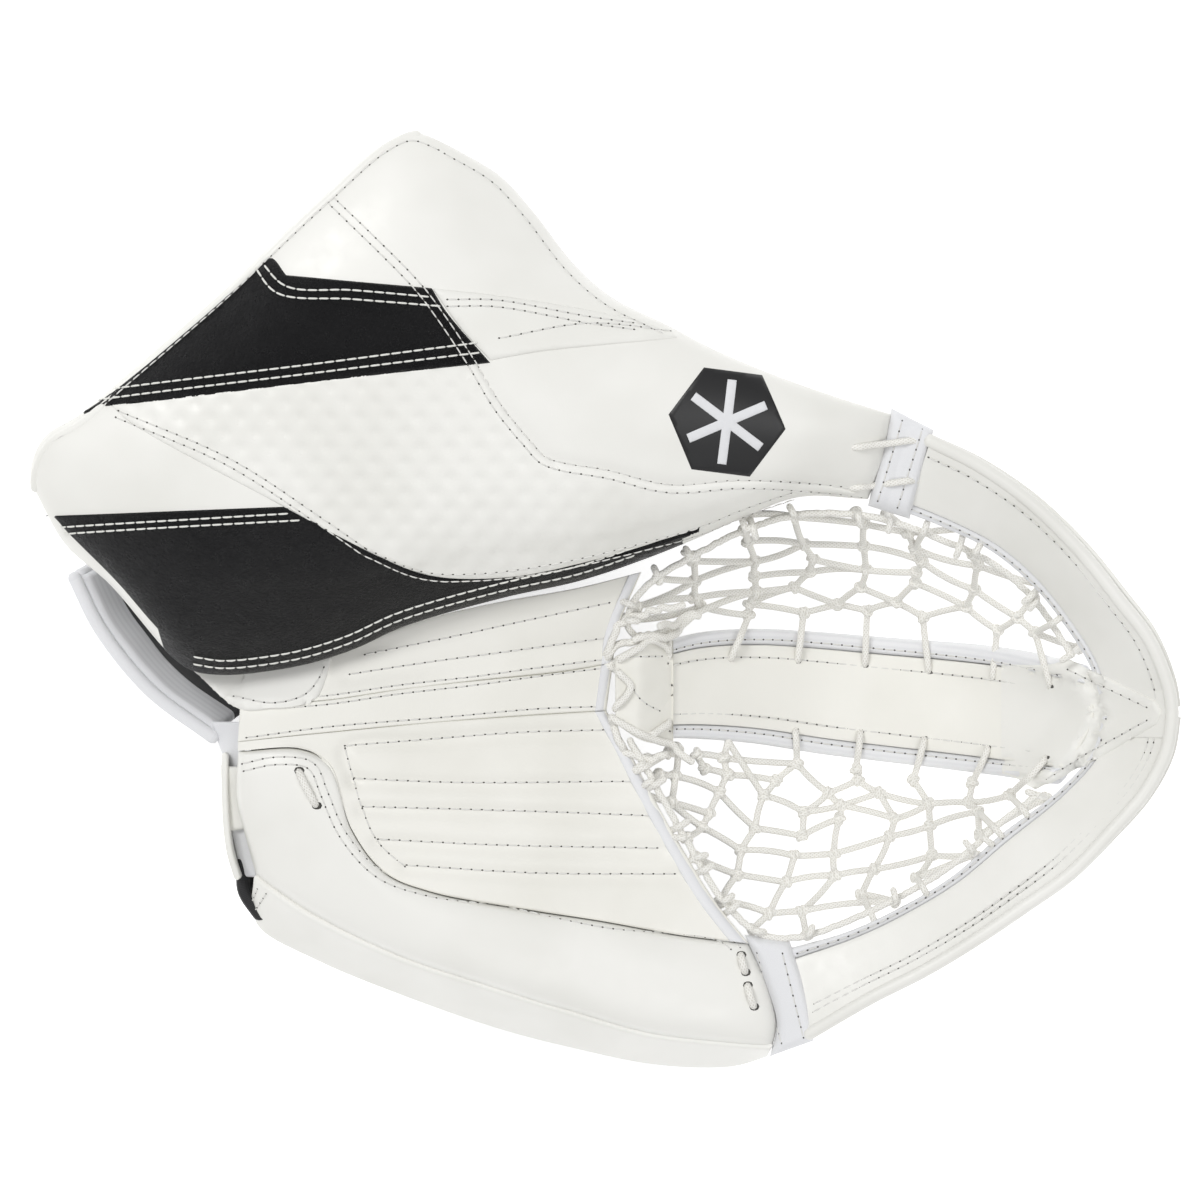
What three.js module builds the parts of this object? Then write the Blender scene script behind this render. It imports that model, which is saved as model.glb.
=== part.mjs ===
// A goalie's catch glove lying on its back, palm and pocket up.
// Millimetres, +Z up. X runs from the wrist to the top of the pocket, +Y towards the thumb.
// The glove is three folding parts: the finger side with the backhand, the spine (palm crease and
// T band), and the thumb side with the cuff. Straps close the wrist, the hand and the thumb.
import * as THREE from 'three';

// Driving dimensions
const PAD = 13; // foam and leather of the cuff and thumb
const ROLL_PAD = 12; // foam of the finger roll
const BOARD = 2; // plastic stiffeners
const LEATHER = 3;
const FELT = 6;
const GAP = 0.4; // clearance between stacked layers
const SEAM = 0.8; // half of the clearance between neighbouring panels
const SHELL_FLOOR = 5; // height of the backhand, wrist and T backs above the ground
const WELT_RADIUS = 3;
const CUFF_CROWN = 20;
const NET_SAG = 13;
const NET_THICK = 3;

// Outlines, as points that a smooth curve passes through
const cuffLower = [[-253, 41, 116], [-243, 24, 114], [-223, 6, 112], [-196, -26, 105], [-186, -33, 103],
  [-172, -35, 101], [-150, -33, 99], [-132, -29.5, 98], [-112, -23, 98], [-90, -13, 99], [-45, 0, 99],
  [-9, 8, 98], [21, 18, 98], [46, 28, 101], [66, 37, 106], [91, 46, 110], [122, 45, 112]];
const cuffUpper = [[-67, 203, 146], [-45, 190, 143], [-30, 174, 141], [-12, 151, 137], [5, 136, 135],
  [31, 123, 133], [50, 113, 132], [76, 102, 130], [104, 92, 127], [133, 83, 123]];
const cuffOuter = [[-253, 41, 116], [-258, 57, 125], [-251, 73, 131], [-236, 82, 135], [-209, 104, 141],
  [-168, 139, 147], [-149, 157, 150], [-121, 183, 151], [-98, 203, 150], [-84, 209, 148], [-67, 203, 146]];
const thumbEnd = [[122, 45, 112], [129, 63, 120], [133, 83, 123]];
const creaseThumb = [[-165, -49, 90], [-127, -47, 88], [-92, -42, 85], [-57, -38, 80], [-18, -34, 74], [6, -30, 70]];
const creaseFinger = [[-166, -66, 90], [-128, -62, 88], [-74, -57, 82], [-32, -54, 76], [3, -52, 70]];
const underThumb = [[-160, -40, 91], [-132, -34, 90], [-110, -27, 90], [-78, -14, 90], [-46, -5, 89],
  [-9, 3.5, 88], [19, 12, 85]];
const thumbPocketEdge = [[6, -30, 70], [8, -15, 74], [19, 12, 85]];
const palmLow = [[-166, -70, 90], [-137, -69, 90], [-124, -76, 89], [-114, -106, 87], [-99, -126, 85],
  [-78, -135, 83], [-37, -143, 78], [0, -149, 73], [37, -156, 67], [69, -160, 63]];
const fingerPocketEdge = [[69, -160, 63], [53, -140, 64], [37, -114, 65], [23, -89, 67], [12, -68, 68], [3, -52, 70]];
const rollFold = [[-160, -132, 80], [-131, -151, 80], [-93, -169, 78], [-54, -182, 76], [-16, -194, 72],
  [22, -205, 68], [60, -210, 62], [80, -212, 58]];
const sideFoot = [[-162, -138, 62], [-159, -153, 57], [-132, -169, 53], [-94, -185, 49], [-46, -202, 46],
  [-7, -212, 44], [22, -218, 42], [47, -220, 40], [64, -219, 40], [79, -214, 42]];
const tLow = [[20, -65, 66], [47, -66, 44], [75, -69, 26], [104, -74, 14], [132, -77.5, 12], [160, -80.5, 18],
  [187, -83, 36], [207, -84, 64]];
const tUp = [[20, -24, 66], [47, -16, 44], [75, -14, 26], [104, -15.5, 14], [132, -18, 12], [160, -20.5, 18],
  [187, -24, 36], [220, -32, 72]];
const tEnd = [[207, -84, 64], [221, -68, 70], [227, -53, 72], [220, -32, 72]];
const rimInThumb = [[139, 38, 108], [157, 31, 104], [178, 21, 97], [198, 5, 88], [213, -13, 80], [225, -32, 76],
  [231, -51, 74]];
const rimOutThumb = [[149, 71, 128], [171, 60, 128], [194, 44, 125], [217, 22, 120], [236, -1, 114],
  [250, -19, 109], [259, -40, 104], [261, -51, 102]];
const rimInFinger = [[231, -54, 74], [226, -71, 73], [210, -89, 72], [185, -108, 70], [162, -128, 68],
  [139, -142, 66], [116, -153, 64], [87, -162, 62]];
const rimOutFinger = [[261, -54, 102], [258.5, -70, 101], [249.5, -88, 99], [233.5, -107, 97],
  [215.5, -126, 94], [193, -142.5, 90], [170, -158.5, 86], [148, -172, 82], [125, -184, 78], [97, -201, 70]];
const netThumbEdge = [[23, 7, 84], [46, 21, 90], [66, 31, 94], [91, 38, 97], [118, 38, 99], [136, 34, 100],
  [155, 27, 97], [178, 17, 91], [198, 1, 83], [210, -15, 78], [217, -26, 77]];
const netRoot = [[22, -21, 66], [13, -14, 71], [15, -3, 77], [23, 7, 84]];
const netFingerEdge = [[14, -66, 68], [27, -89, 67], [41, -114, 65], [57, -140, 64], [75, -156, 63],
  [93, -157, 62], [116, -149, 63], [139, -138, 65], [162, -124, 67], [185, -104, 69], [202, -91, 70]];
const backOut = [[-163, -143, 52], [-126, -168, 46], [-79, -185, 42], [-19, -204, 38], [37, -213, 36], [68, -212, 36]];
const backIn = [[-164, -54, 74], [-120, -54, 72], [-74, -57, 68], [-28, -68, 61], [5, -89, 54], [30, -117, 50],
  [54, -148, 47]];
const wristOut = [[-241, 9, 84], [-230, -14, 78], [-208, -42, 72], [-179, -64, 68]];
const wristIn = [[-156, 80, 100], [-145, 58, 98], [-123, 29, 94], [-94, 8, 88]];
const thumbBackLow = [[-12, 12, 80], [24, 24, 82], [48, 36, 84], [70, 46, 88], [93, 54, 92], [114, 54, 94]];
const thumbBackUp = [[-30, 138, 108], [5, 118, 106], [48, 95, 104], [76, 86, 103], [104, 76, 102], [120, 73, 101]];
const heelPath = [[-174, -71], [-174, -93], [-172, -116], [-168, -130]];
const HEEL_LOW = 22;
const HEEL_HIGH = 82;

const vec = ([x, y, z]) => new THREE.Vector3(x, y, z);
const curve = (points) => new THREE.CatmullRomCurve3(points.map(vec), false, 'centripetal');
const moved = (points, dx, dy, dz = 0) => points.map(([x, y, z]) => [x + dx, y + dy, z + dz]);

// A smooth surface inside four edge curves; low and up share their direction, and so do start and end.
function coons(lowPoints, upPoints, startPoints, endPoints) {
  const low = curve(lowPoints);
  const up = curve(upPoints);
  const start = curve(startPoints ?? [lowPoints[0], upPoints[0]]);
  const end = curve(endPoints ?? [lowPoints.at(-1), upPoints.at(-1)]);
  const corners = [low.getPointAt(0), low.getPointAt(1), up.getPointAt(0), up.getPointAt(1)];
  return (u, v) => {
    const p = low.getPointAt(u).multiplyScalar(1 - v).addScaledVector(up.getPointAt(u), v);
    p.addScaledVector(start.getPointAt(v), 1 - u).addScaledVector(end.getPointAt(v), u);
    p.addScaledVector(corners[0], -(1 - u) * (1 - v)).addScaledVector(corners[1], -u * (1 - v));
    return p.addScaledVector(corners[2], -(1 - u) * v).addScaledVector(corners[3], -u * v);
  };
}

// The same surface, raised in its middle (or sunk, when height is below 0)
const crowned = (surface, height) => (u, v) => {
  const p = surface(u, v);
  p.z += height * (1 - (2 * u - 1) ** 6) * (1 - (2 * v - 1) ** 4);
  return p;
};

// A U-shaped shell between two edges, with the middle third of its width flat at a given height
const TROUGH_FLAT = 1 / 3;
const trough = (edgeA, edgeB, floorAt) => {
  const surface = coons(edgeA, edgeB);
  return (u, v) => {
    const p = surface(u, v);
    const climb = Math.max(0, Math.abs(2 * v - 1) - TROUGH_FLAT) / (1 - TROUGH_FLAT);
    p.z -= (p.z - floorAt(u)) * (1 - climb ** 2);
    return p;
  };
};

const STEP = 1e-3;
function normalAt(surface, u, v) {
  const clamp = (t) => Math.min(1, Math.max(0, t));
  const du = surface(clamp(u + STEP), v).sub(surface(clamp(u - STEP), v));
  const dv = surface(u, clamp(v + STEP)).sub(surface(u, clamp(v - STEP)));
  return du.cross(dv).normalize();
}

const UP = new THREE.Vector3(0, 0, 1);
const group = new THREE.Group();

function add(name, geometry, material) {
  const mesh = new THREE.Mesh(geometry, material);
  mesh.name = name;
  group.add(mesh);
}

// A closed solid from two grids of points over the same cells: the top grid and the bottom one
function gridSolid(top, bottom, nu, nv) {
  const positions = [...top, ...bottom].flatMap((p) => p.toArray());
  const half = top.length;
  const at = (i, j, side) => i * (nv + 1) + j + side * half;
  const index = [];
  const quad = (a, b, c, d) => index.push(a, b, c, a, c, d);
  for (let i = 0; i < nu; i++) {
    for (let j = 0; j < nv; j++) {
      quad(at(i, j, 0), at(i + 1, j, 0), at(i + 1, j + 1, 0), at(i, j + 1, 0));
      quad(at(i, j, 1), at(i, j + 1, 1), at(i + 1, j + 1, 1), at(i + 1, j, 1));
    }
  }
  for (let i = 0; i < nu; i++) {
    quad(at(i, 0, 0), at(i, 0, 1), at(i + 1, 0, 1), at(i + 1, 0, 0));
    quad(at(i, nv, 0), at(i + 1, nv, 0), at(i + 1, nv, 1), at(i, nv, 1));
  }
  for (let j = 0; j < nv; j++) {
    quad(at(0, j, 0), at(0, j + 1, 0), at(0, j + 1, 1), at(0, j, 1));
    quad(at(nu, j, 0), at(nu, j, 1), at(nu, j + 1, 1), at(nu, j + 1, 0));
  }
  const geometry = new THREE.BufferGeometry();
  geometry.setAttribute('position', new THREE.Float32BufferAttribute(positions, 3));
  geometry.setIndex(index);
  geometry.computeVertexNormals();
  return geometry;
}

// One layer of a surface, from the offset `from` down to the offset `to`. Its ranges of u and v end on the
// surface's own grid lines, so that stacked layers share their facets; inset is what v gives up at each end.
function layer(name, material, { at, cells }, { u = [0, 1], v = [0, 1], from = 0, to, inset = 0, upright = false }) {
  const [firstU, lastU] = u.map((t) => Math.round(t * cells[0]));
  const [firstV, lastV] = v.map((t) => Math.round(t * cells[1]));
  const top = [];
  const bottom = [];
  for (let i = firstU; i <= lastU; i++) {
    for (let j = firstV; j <= lastV; j++) {
      const a = i / cells[0];
      const b = j / cells[1] + (j === firstV ? inset : 0) - (j === lastV ? inset : 0);
      const n = upright ? UP : normalAt(at, a, b);
      top.push(at(a, b).addScaledVector(n, from));
      bottom.push(at(a, b).addScaledVector(n, to));
    }
  }
  add(name, gridSolid(top, bottom, lastU - firstU, lastV - firstV), material);
}

// A round bead that follows a curve
function bead(name, material, path, radius, steps, sides = 8) {
  const section = new THREE.Shape();
  for (let i = 0; i < sides; i++) {
    const a = (2 * Math.PI * i) / sides;
    section[i ? 'lineTo' : 'moveTo'](radius * Math.cos(a), radius * Math.sin(a));
  }
  add(name, new THREE.ExtrudeGeometry(section, { steps, bevelEnabled: false, extrudePath: path }), material);
}

// An open oval sleeve, from one end to the other
function sleeve(name, material, from, to, rx, rz, wall, sides = 14) {
  const oval = (a, b) => new THREE.Path().absellipse(0, 0, a, b, 0, 2 * Math.PI);
  const section = new THREE.Shape(oval(rx, rz).getSpacedPoints(sides).slice(0, -1));
  section.holes.push(new THREE.Path(oval(rx - wall, rz - wall).getSpacedPoints(sides).slice(0, -1).reverse()));
  const path = new THREE.LineCurve3(vec(from), vec(to));
  add(name, new THREE.ExtrudeGeometry(section, { steps: 1, bevelEnabled: false, extrudePath: path }), material);
}

const material = (color, roughness) => new THREE.MeshStandardMaterial({ color, roughness, metalness: 0 });
const whiteLeather = material(0xf1f0ea, 0.45);
const whiteNylon = material(0xf4f4f7, 0.8);
const blackLeather = material(0x16161a, 0.4);
const blackNylon = material(0x1b1c1f, 0.85);
const felt = material(0x3a3b3f, 0.95);
const board = material(0xdcdcd8, 0.5);
const lace = material(0xeeebe0, 0.75);

// Thumb side: cuff and thumb
const cuff = { at: crowned(coons(cuffLower, cuffUpper, cuffOuter, thumbEnd), CUFF_CROWN), cells: [20, 10] };
const boardTop = -PAD - GAP;
const liningTop = boardTop - BOARD - GAP;
layer('cuff_thumb_pad', whiteLeather, cuff, { to: -PAD, upright: true });
layer('cuff_thumb_board', board, cuff,
  { u: [0.05, 0.95], v: [0.1, 0.9], from: boardTop, to: boardTop - BOARD, upright: true });
layer('cuff_lining', felt, cuff, { u: [0.05, 0.5], v: [0.1, 0.9], from: liningTop, to: liningTop - 4, upright: true });
layer('thumb_lining', felt, cuff, { u: [0.55, 0.95], v: [0.1, 0.9], from: liningTop, to: liningTop - 3, upright: true });
const thumbShell = { at: trough(thumbBackLow, thumbBackUp, (u) => 50 + 26 * u), cells: [9, 12] };
layer('thumb_back_pad', blackNylon, thumbShell, { from: 6, to: 0 });
sleeve('thumb_stall', felt, [-12, 71, 86], [54, 67, 92], 16, 13, 2);
const tip = { at: coons([[125, 43, 113], [137, 40, 111]], [[135.5, 85, 127], [146, 78, 129]]), cells: [1, 5] };
layer('thumb_tip_binding', whiteNylon, tip, { to: -16, upright: true });

// Palm: three panels between the seams of the crease
const palm = {
  thumb: { at: coons(moved(creaseThumb, 0, SEAM), underThumb, null, thumbPocketEdge), cells: [16, 3] },
  center: { at: coons(moved(creaseFinger, 0, SEAM), moved(creaseThumb, 0, -SEAM)), cells: [16, 2] },
  finger: {
    at: coons(moved(palmLow, 4 * SEAM, SEAM), moved(creaseFinger, 0, -SEAM), null, fingerPocketEdge), cells: [16, 5],
  },
};
const PALM_END = 15 / 16;
for (const [side, panel] of Object.entries(palm)) {
  const u = [0, PALM_END];
  layer(`palm_${side}_leather`, whiteLeather, panel, { u, to: -LEATHER, upright: true });
  layer(`palm_${side}_felt`, felt, panel, { u, from: -LEATHER - GAP, to: -LEATHER - GAP - FELT, upright: true });
  const edge = { at: (a, b) => panel.at(PALM_END + 0.01 + a * (1 - PALM_END - 0.01), b), cells: [1, panel.cells[1]] };
  layer(`palm_${side}_edge_binding`, whiteNylon, edge, { to: -LEATHER - FELT, upright: true });
}

// Finger side: roll, its board, its outer wall and the tip
const roll = {
  at: crowned(coons(moved(rollFold, 0, 6), moved(palmLow, 0, -SEAM),
    [[-158, -126, 80], [-163, -110, 84], [-167, -92, 87], [-166, -70.8, 90]],
    [[80, -206, 58], [82, -198, 60], [77, -177, 62], [69, -160.8, 63]]), 3),
  cells: [16, 5],
};
layer('finger_roll_pad', whiteLeather, roll, { to: -ROLL_PAD, upright: true });
layer('finger_board', board, roll,
  { u: [0.06, 0.94], v: [0.2, 0.8], from: -ROLL_PAD - GAP, to: -ROLL_PAD - GAP - BOARD, upright: true });
const wall = { at: coons(sideFoot, moved(rollFold, 0, 0.5)), cells: [14, 3] };
layer('finger_side_wall', whiteLeather, wall, { to: -4, inset: 0.04 });
const fingerTip = {
  at: coons([[82, -210.5, 58], [93.5, -205, 66]], [[71, -159.5, 65], [83, -160.5, 64]],
    [[82, -210.5, 58], [84.5, -198, 60], [79.5, -177, 63], [71, -159.5, 65]],
    [[93.5, -205, 66], [93.5, -196, 66], [88.5, -177, 65], [83, -160.5, 64]]),
  cells: [1, 5],
};
layer('finger_tip_binding', whiteNylon, fingerTip, { to: -14, upright: true });

// Spine: the T band with its core, back and edge bindings. A seventh of its width is binding on each edge.
const tee = { at: coons(tLow, tUp, null, tEnd), cells: [16, 7] };
const FACE = [1 / 7, 6 / 7];
layer('t_face', whiteLeather, tee, { v: FACE, to: -2, inset: 0.012 });
layer('t_core', board, tee, { v: FACE, from: -2.4, to: -4.8, inset: 0.03 });
layer('t_back', whiteLeather, tee, { v: FACE, from: -5.2, to: -7.6, inset: 0.012 });
layer('t_back_pad', whiteLeather, tee, { u: [0.4, 0.62], v: FACE, from: -8, to: -12.6, inset: 0.03 });
layer('t_lower_binding', whiteNylon, tee, { v: [0, FACE[0]], from: 0.4, to: -8 });
layer('t_upper_binding', whiteNylon, tee, { v: [FACE[1], 1], from: 0.4, to: -8 });

// The two laced nets, each as the sheet that its knots lie in
const nets = {
  upper: crowned(coons(moved(tUp, -1, 2.5, 1), netThumbEdge, netRoot, [[219, -29.5, 73], [217, -26, 77]]), -NET_SAG),
  lower: crowned(coons(netFingerEdge, moved(tLow, 0, -2.5, 1), [[14, -66, 68], [20, -67.5, 67]],
    [[202, -91, 70], [207, -86.5, 65]]), -NET_SAG),
};
for (const [side, at] of Object.entries(nets)) {
  layer(`net_${side}`, lace, { at, cells: [16, 6] }, { to: -NET_THICK, inset: 0.02, upright: true });
}

// The rim: two bands that meet at the top of the T
const rims = { thumb: coons(rimInThumb, rimOutThumb), finger: coons(rimInFinger, rimOutFinger) };
const rimEdges = { thumb: rimOutThumb, finger: rimOutFinger };
for (const [side, at] of Object.entries(rims)) {
  const rim = { at, cells: [12, 7] };
  layer(`rim_${side}_face`, whiteLeather, rim, { v: FACE, to: -2.4, inset: 0.015 });
  layer(`rim_${side}_core`, board, rim, { v: FACE, from: -2.8, to: -4.8, inset: 0.03 });
  layer(`rim_${side}_back`, whiteLeather, rim, { v: FACE, from: -5.2, to: -7.4, inset: 0.015 });
  layer(`rim_${side}_binding`, whiteNylon, rim, { v: [0, FACE[0]], from: 0.4, to: -7.8 });
  bead(`rim_${side}_welt`, whiteLeather, curve(moved(rimEdges[side], 0, 0, -2)), WELT_RADIUS, 14);
}

// Backhand and wrist: open shells under the hand, with a pad under the flat of each
const MIDDLE = [1 / 3, 2 / 3];
const backShell = { at: trough(backOut, backIn, () => SHELL_FLOOR), cells: [10, 12] };
layer('backhand_pad', blackNylon, backShell, { from: 6, to: 0 });
layer('backhand_lining', felt, backShell, { from: 8.4, to: 6.7 });
layer('knuckle_pad', blackNylon, backShell, { u: [0.5, 0.9], v: MIDDLE, from: -GAP, to: -SHELL_FLOOR });
const wristShell = { at: trough(wristOut, wristIn, () => SHELL_FLOOR), cells: [8, 12] };
layer('wrist_cover', blackNylon, wristShell, { from: 5, to: 0 });
layer('wrist_roll', blackNylon, wristShell, { u: [0, 0.375], v: MIDDLE, from: -GAP, to: -SHELL_FLOOR });
const heelEdge = (z) => heelPath.map(([x, y]) => [x, y, z]);
layer('heel_band', whiteLeather, { at: coons(heelEdge(HEEL_LOW), heelEdge(HEEL_HIGH)), cells: [5, 3] }, { to: -3 });

// Straps: each is anchored at one end and held by a hook patch at the other
const straps = [
  ['wrist', wristShell, [0.5, 0.875]],
  ['hand', backShell, [0.1, 0.4]],
  ['thumb', thumbShell, [0.33, 0.56]],
];
for (const [name, shell, u] of straps) {
  layer(`${name}_strap`, whiteNylon, shell, { u, v: [0.083, 0.917], from: -1.6, to: -4, inset: 0.01 });
  layer(`${name}_hook_patch`, blackNylon, shell, { u, v: [0.58, 0.83], from: -0.3, to: -1.2 });
  layer(`${name}_strap_anchor`, whiteLeather, shell, { u, v: [0, 0.083], from: -0.4, to: -4 });
}

// Finger stalls: four sleeves side by side, pointing to the tip of the roll
const STALL_PITCH = 18.4;
const STALL_LENGTH = 36;
const FINGERS = ['index', 'middle', 'ring', 'little'];
const alongFinger = new THREE.Vector2(0.87, -0.49);
const acrossFingers = new THREE.Vector2(0.49, 0.87);
FINGERS.forEach((finger, i) => {
  const middle = new THREE.Vector2(-16, -148).addScaledVector(acrossFingers, (1.5 - i) * STALL_PITCH);
  const end = (side) => {
    const p = middle.clone().addScaledVector(alongFinger, (side * STALL_LENGTH) / 2);
    return [p.x, p.y, 36 + 2 * side];
  };
  sleeve(`${finger}_stall`, felt, end(-1), end(1), 9, 8.8, 1.6, 12);
});

// The origin is on the ground, under the middle of the glove
group.position.set(-3.5, 6.5, 0);

export default group;
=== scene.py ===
"""The looks of an open goalie catch glove: leather, lacing, stitches and straps around the CAD frame.

Lengths in this file are millimetres in the glove's drawing frame, and put() turns them into metres in the
row's frame. The outlines and surfaces are those that the CAD solids were made from.
"""
import math

import bmesh
import bpy
import numpy as np
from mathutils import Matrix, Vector
from mathutils.bvhtree import BVHTree
from mathutils.geometry import delaunay_2d_cdt


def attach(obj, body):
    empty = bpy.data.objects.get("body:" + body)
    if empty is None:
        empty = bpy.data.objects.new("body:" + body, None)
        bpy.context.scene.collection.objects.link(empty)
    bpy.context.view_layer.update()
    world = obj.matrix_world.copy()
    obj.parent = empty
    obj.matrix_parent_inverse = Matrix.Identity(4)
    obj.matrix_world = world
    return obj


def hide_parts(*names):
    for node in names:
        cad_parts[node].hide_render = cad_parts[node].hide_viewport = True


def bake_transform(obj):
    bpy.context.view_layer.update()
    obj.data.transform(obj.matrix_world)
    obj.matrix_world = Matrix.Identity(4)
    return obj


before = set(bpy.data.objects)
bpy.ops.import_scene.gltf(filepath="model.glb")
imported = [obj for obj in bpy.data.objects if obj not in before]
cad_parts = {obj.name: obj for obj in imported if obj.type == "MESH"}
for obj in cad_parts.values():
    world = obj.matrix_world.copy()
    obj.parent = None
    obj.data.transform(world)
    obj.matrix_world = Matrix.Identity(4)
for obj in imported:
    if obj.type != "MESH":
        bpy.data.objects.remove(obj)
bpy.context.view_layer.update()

RNG = np.random.default_rng(7)

MM = 0.001
ORIGIN = np.array([-3.5, 6.5, 0.0])  # where the drawing's origin lies in the row's frame
UP = np.array([0.0, 0.0, 1.0])

# Thicknesses and crowns, as in CAD
PAD = 13
ROLL_PAD = 12
CUFF_CROWN = 20
NET_SAG = 13
SHELL_FLOOR = 5
TROUGH_FLAT = 1 / 3
BINDING = 1 / 7  # share of a band's width that its binding covers
MIDDLE = (1 / 3, 2 / 3)

# Stitching and lacing
STITCH_PITCH = 5.0
STITCH_LENGTH = 4.1
THREAD = 0.42
LACE = 1.6

# The photo's viewpoint: straight above the glove's middle
CAMERA_AT = (0, -0.9, 2600)
CAMERA_LENS = 164.35
SENSOR = 36

THICK_FILL = 0.7
SOFT_FILL = 0.6
FELT_FILL = 0.5
THIN_FILL = 0.3

# The outlines, as points in the drawing frame
CUFF_LOWER = [(-253, 41, 116), (-243, 24, 114), (-223, 6, 112), (-196, -26, 105), (-186, -33, 103),
    (-172, -35, 101), (-150, -33, 99), (-132, -29.5, 98), (-112, -23, 98), (-90, -13, 99), (-45, 0, 99),
    (-9, 8, 98), (21, 18, 98), (46, 28, 101), (66, 37, 106), (91, 46, 110), (122, 45, 112)]
CUFF_UPPER = [(-67, 203, 146), (-45, 190, 143), (-30, 174, 141), (-12, 151, 137), (5, 136, 135),
    (31, 123, 133), (50, 113, 132), (76, 102, 130), (104, 92, 127), (133, 83, 123)]
CUFF_OUTER = [(-253, 41, 116), (-258, 57, 125), (-251, 73, 131), (-236, 82, 135), (-209, 104, 141),
    (-168, 139, 147), (-149, 157, 150), (-121, 183, 151), (-98, 203, 150), (-84, 209, 148), (-67, 203, 146)]
THUMB_END = [(122, 45, 112), (129, 63, 120), (133, 83, 123)]
CREASE_THUMB = [(-165, -49, 90), (-127, -47, 88), (-92, -42, 85), (-57, -38, 80), (-18, -34, 74),
    (6, -30, 70)]
CREASE_FINGER = [(-166, -66, 90), (-128, -62, 88), (-74, -57, 82), (-32, -54, 76), (3, -52, 70)]
UNDER_THUMB = [(-160, -40, 91), (-132, -34, 90), (-110, -27, 90), (-78, -14, 90), (-46, -5, 89),
    (-9, 3.5, 88), (19, 12, 85)]
THUMB_POCKET_EDGE = [(6, -30, 70), (8, -15, 74), (19, 12, 85)]
PALM_LOW = [(-166, -70, 90), (-137, -69, 90), (-124, -76, 89), (-114, -106, 87), (-99, -126, 85),
    (-78, -135, 83), (-37, -143, 78), (0, -149, 73), (37, -156, 67), (69, -160, 63)]
FINGER_POCKET_EDGE = [(69, -160, 63), (53, -140, 64), (37, -114, 65), (23, -89, 67), (12, -68, 68),
    (3, -52, 70)]
ROLL_FOLD = [(-160, -132, 80), (-131, -151, 80), (-93, -169, 78), (-54, -182, 76), (-16, -194, 72),
    (22, -205, 68), (60, -210, 62), (80, -212, 58)]
SIDE_FOOT = [(-162, -138, 62), (-159, -153, 57), (-132, -169, 53), (-94, -185, 49), (-46, -202, 46),
    (-7, -212, 44), (22, -218, 42), (47, -220, 40), (64, -219, 40), (79, -214, 42)]
T_LOW = [(20, -65, 66), (47, -66, 44), (75, -69, 26), (104, -74, 14), (132, -77.5, 12), (160, -80.5, 18),
    (187, -83, 36), (207, -84, 64)]
T_UP = [(20, -24, 66), (47, -16, 44), (75, -14, 26), (104, -15.5, 14), (132, -18, 12), (160, -20.5, 18),
    (187, -24, 36), (220, -32, 72)]
T_END = [(207, -84, 64), (221, -68, 70), (227, -53, 72), (220, -32, 72)]
RIM_IN_THUMB = [(139, 38, 108), (157, 31, 104), (178, 21, 97), (198, 5, 88), (213, -13, 80), (225, -32, 76),
    (231, -51, 74)]
RIM_OUT_THUMB = [(149, 71, 128), (171, 60, 128), (194, 44, 125), (217, 22, 120), (236, -1, 114),
    (250, -19, 109), (259, -40, 104), (261, -51, 102)]
RIM_IN_FINGER = [(231, -54, 74), (226, -71, 73), (210, -89, 72), (185, -108, 70), (162, -128, 68),
    (139, -142, 66), (116, -153, 64), (87, -162, 62)]
RIM_OUT_FINGER = [(261, -54, 102), (258.5, -70, 101), (249.5, -88, 99), (233.5, -107, 97), (215.5, -126, 94),
    (193, -142.5, 90), (170, -158.5, 86), (148, -172, 82), (125, -184, 78), (97, -201, 70)]
NET_THUMB_EDGE = [(23, 7, 84), (46, 21, 90), (66, 31, 94), (91, 38, 97), (118, 38, 99), (136, 34, 100),
    (155, 27, 97), (178, 17, 91), (198, 1, 83), (210, -15, 78), (217, -26, 77)]
NET_ROOT = [(22, -21, 66), (13, -14, 71), (15, -3, 77), (23, 7, 84)]
NET_FINGER_EDGE = [(14, -66, 68), (27, -89, 67), (41, -114, 65), (57, -140, 64), (75, -156, 63),
    (93, -157, 62), (116, -149, 63), (139, -138, 65), (162, -124, 67), (185, -104, 69), (202, -91, 70)]
BACK_OUT = [(-163, -143, 52), (-126, -168, 46), (-79, -185, 42), (-19, -204, 38), (37, -213, 36),
    (68, -212, 36)]
BACK_IN = [(-164, -54, 74), (-120, -54, 72), (-74, -57, 68), (-28, -68, 61), (5, -89, 54), (30, -117, 50),
    (54, -148, 47)]
WRIST_OUT = [(-241, 9, 84), (-230, -14, 78), (-208, -42, 72), (-179, -64, 68)]
WRIST_IN = [(-156, 80, 100), (-145, 58, 98), (-123, 29, 94), (-94, 8, 88)]
THUMB_BACK_LOW = [(-12, 12, 80), (24, 24, 82), (48, 36, 84), (70, 46, 88), (93, 54, 92), (114, 54, 94)]
THUMB_BACK_UP = [(-30, 138, 108), (5, 118, 106), (48, 95, 104), (76, 86, 103), (104, 76, 102),
    (120, 73, 101)]
HEEL_PATH = [(-174, -71), (-174, -93), (-172, -116), (-168, -130)]


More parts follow.
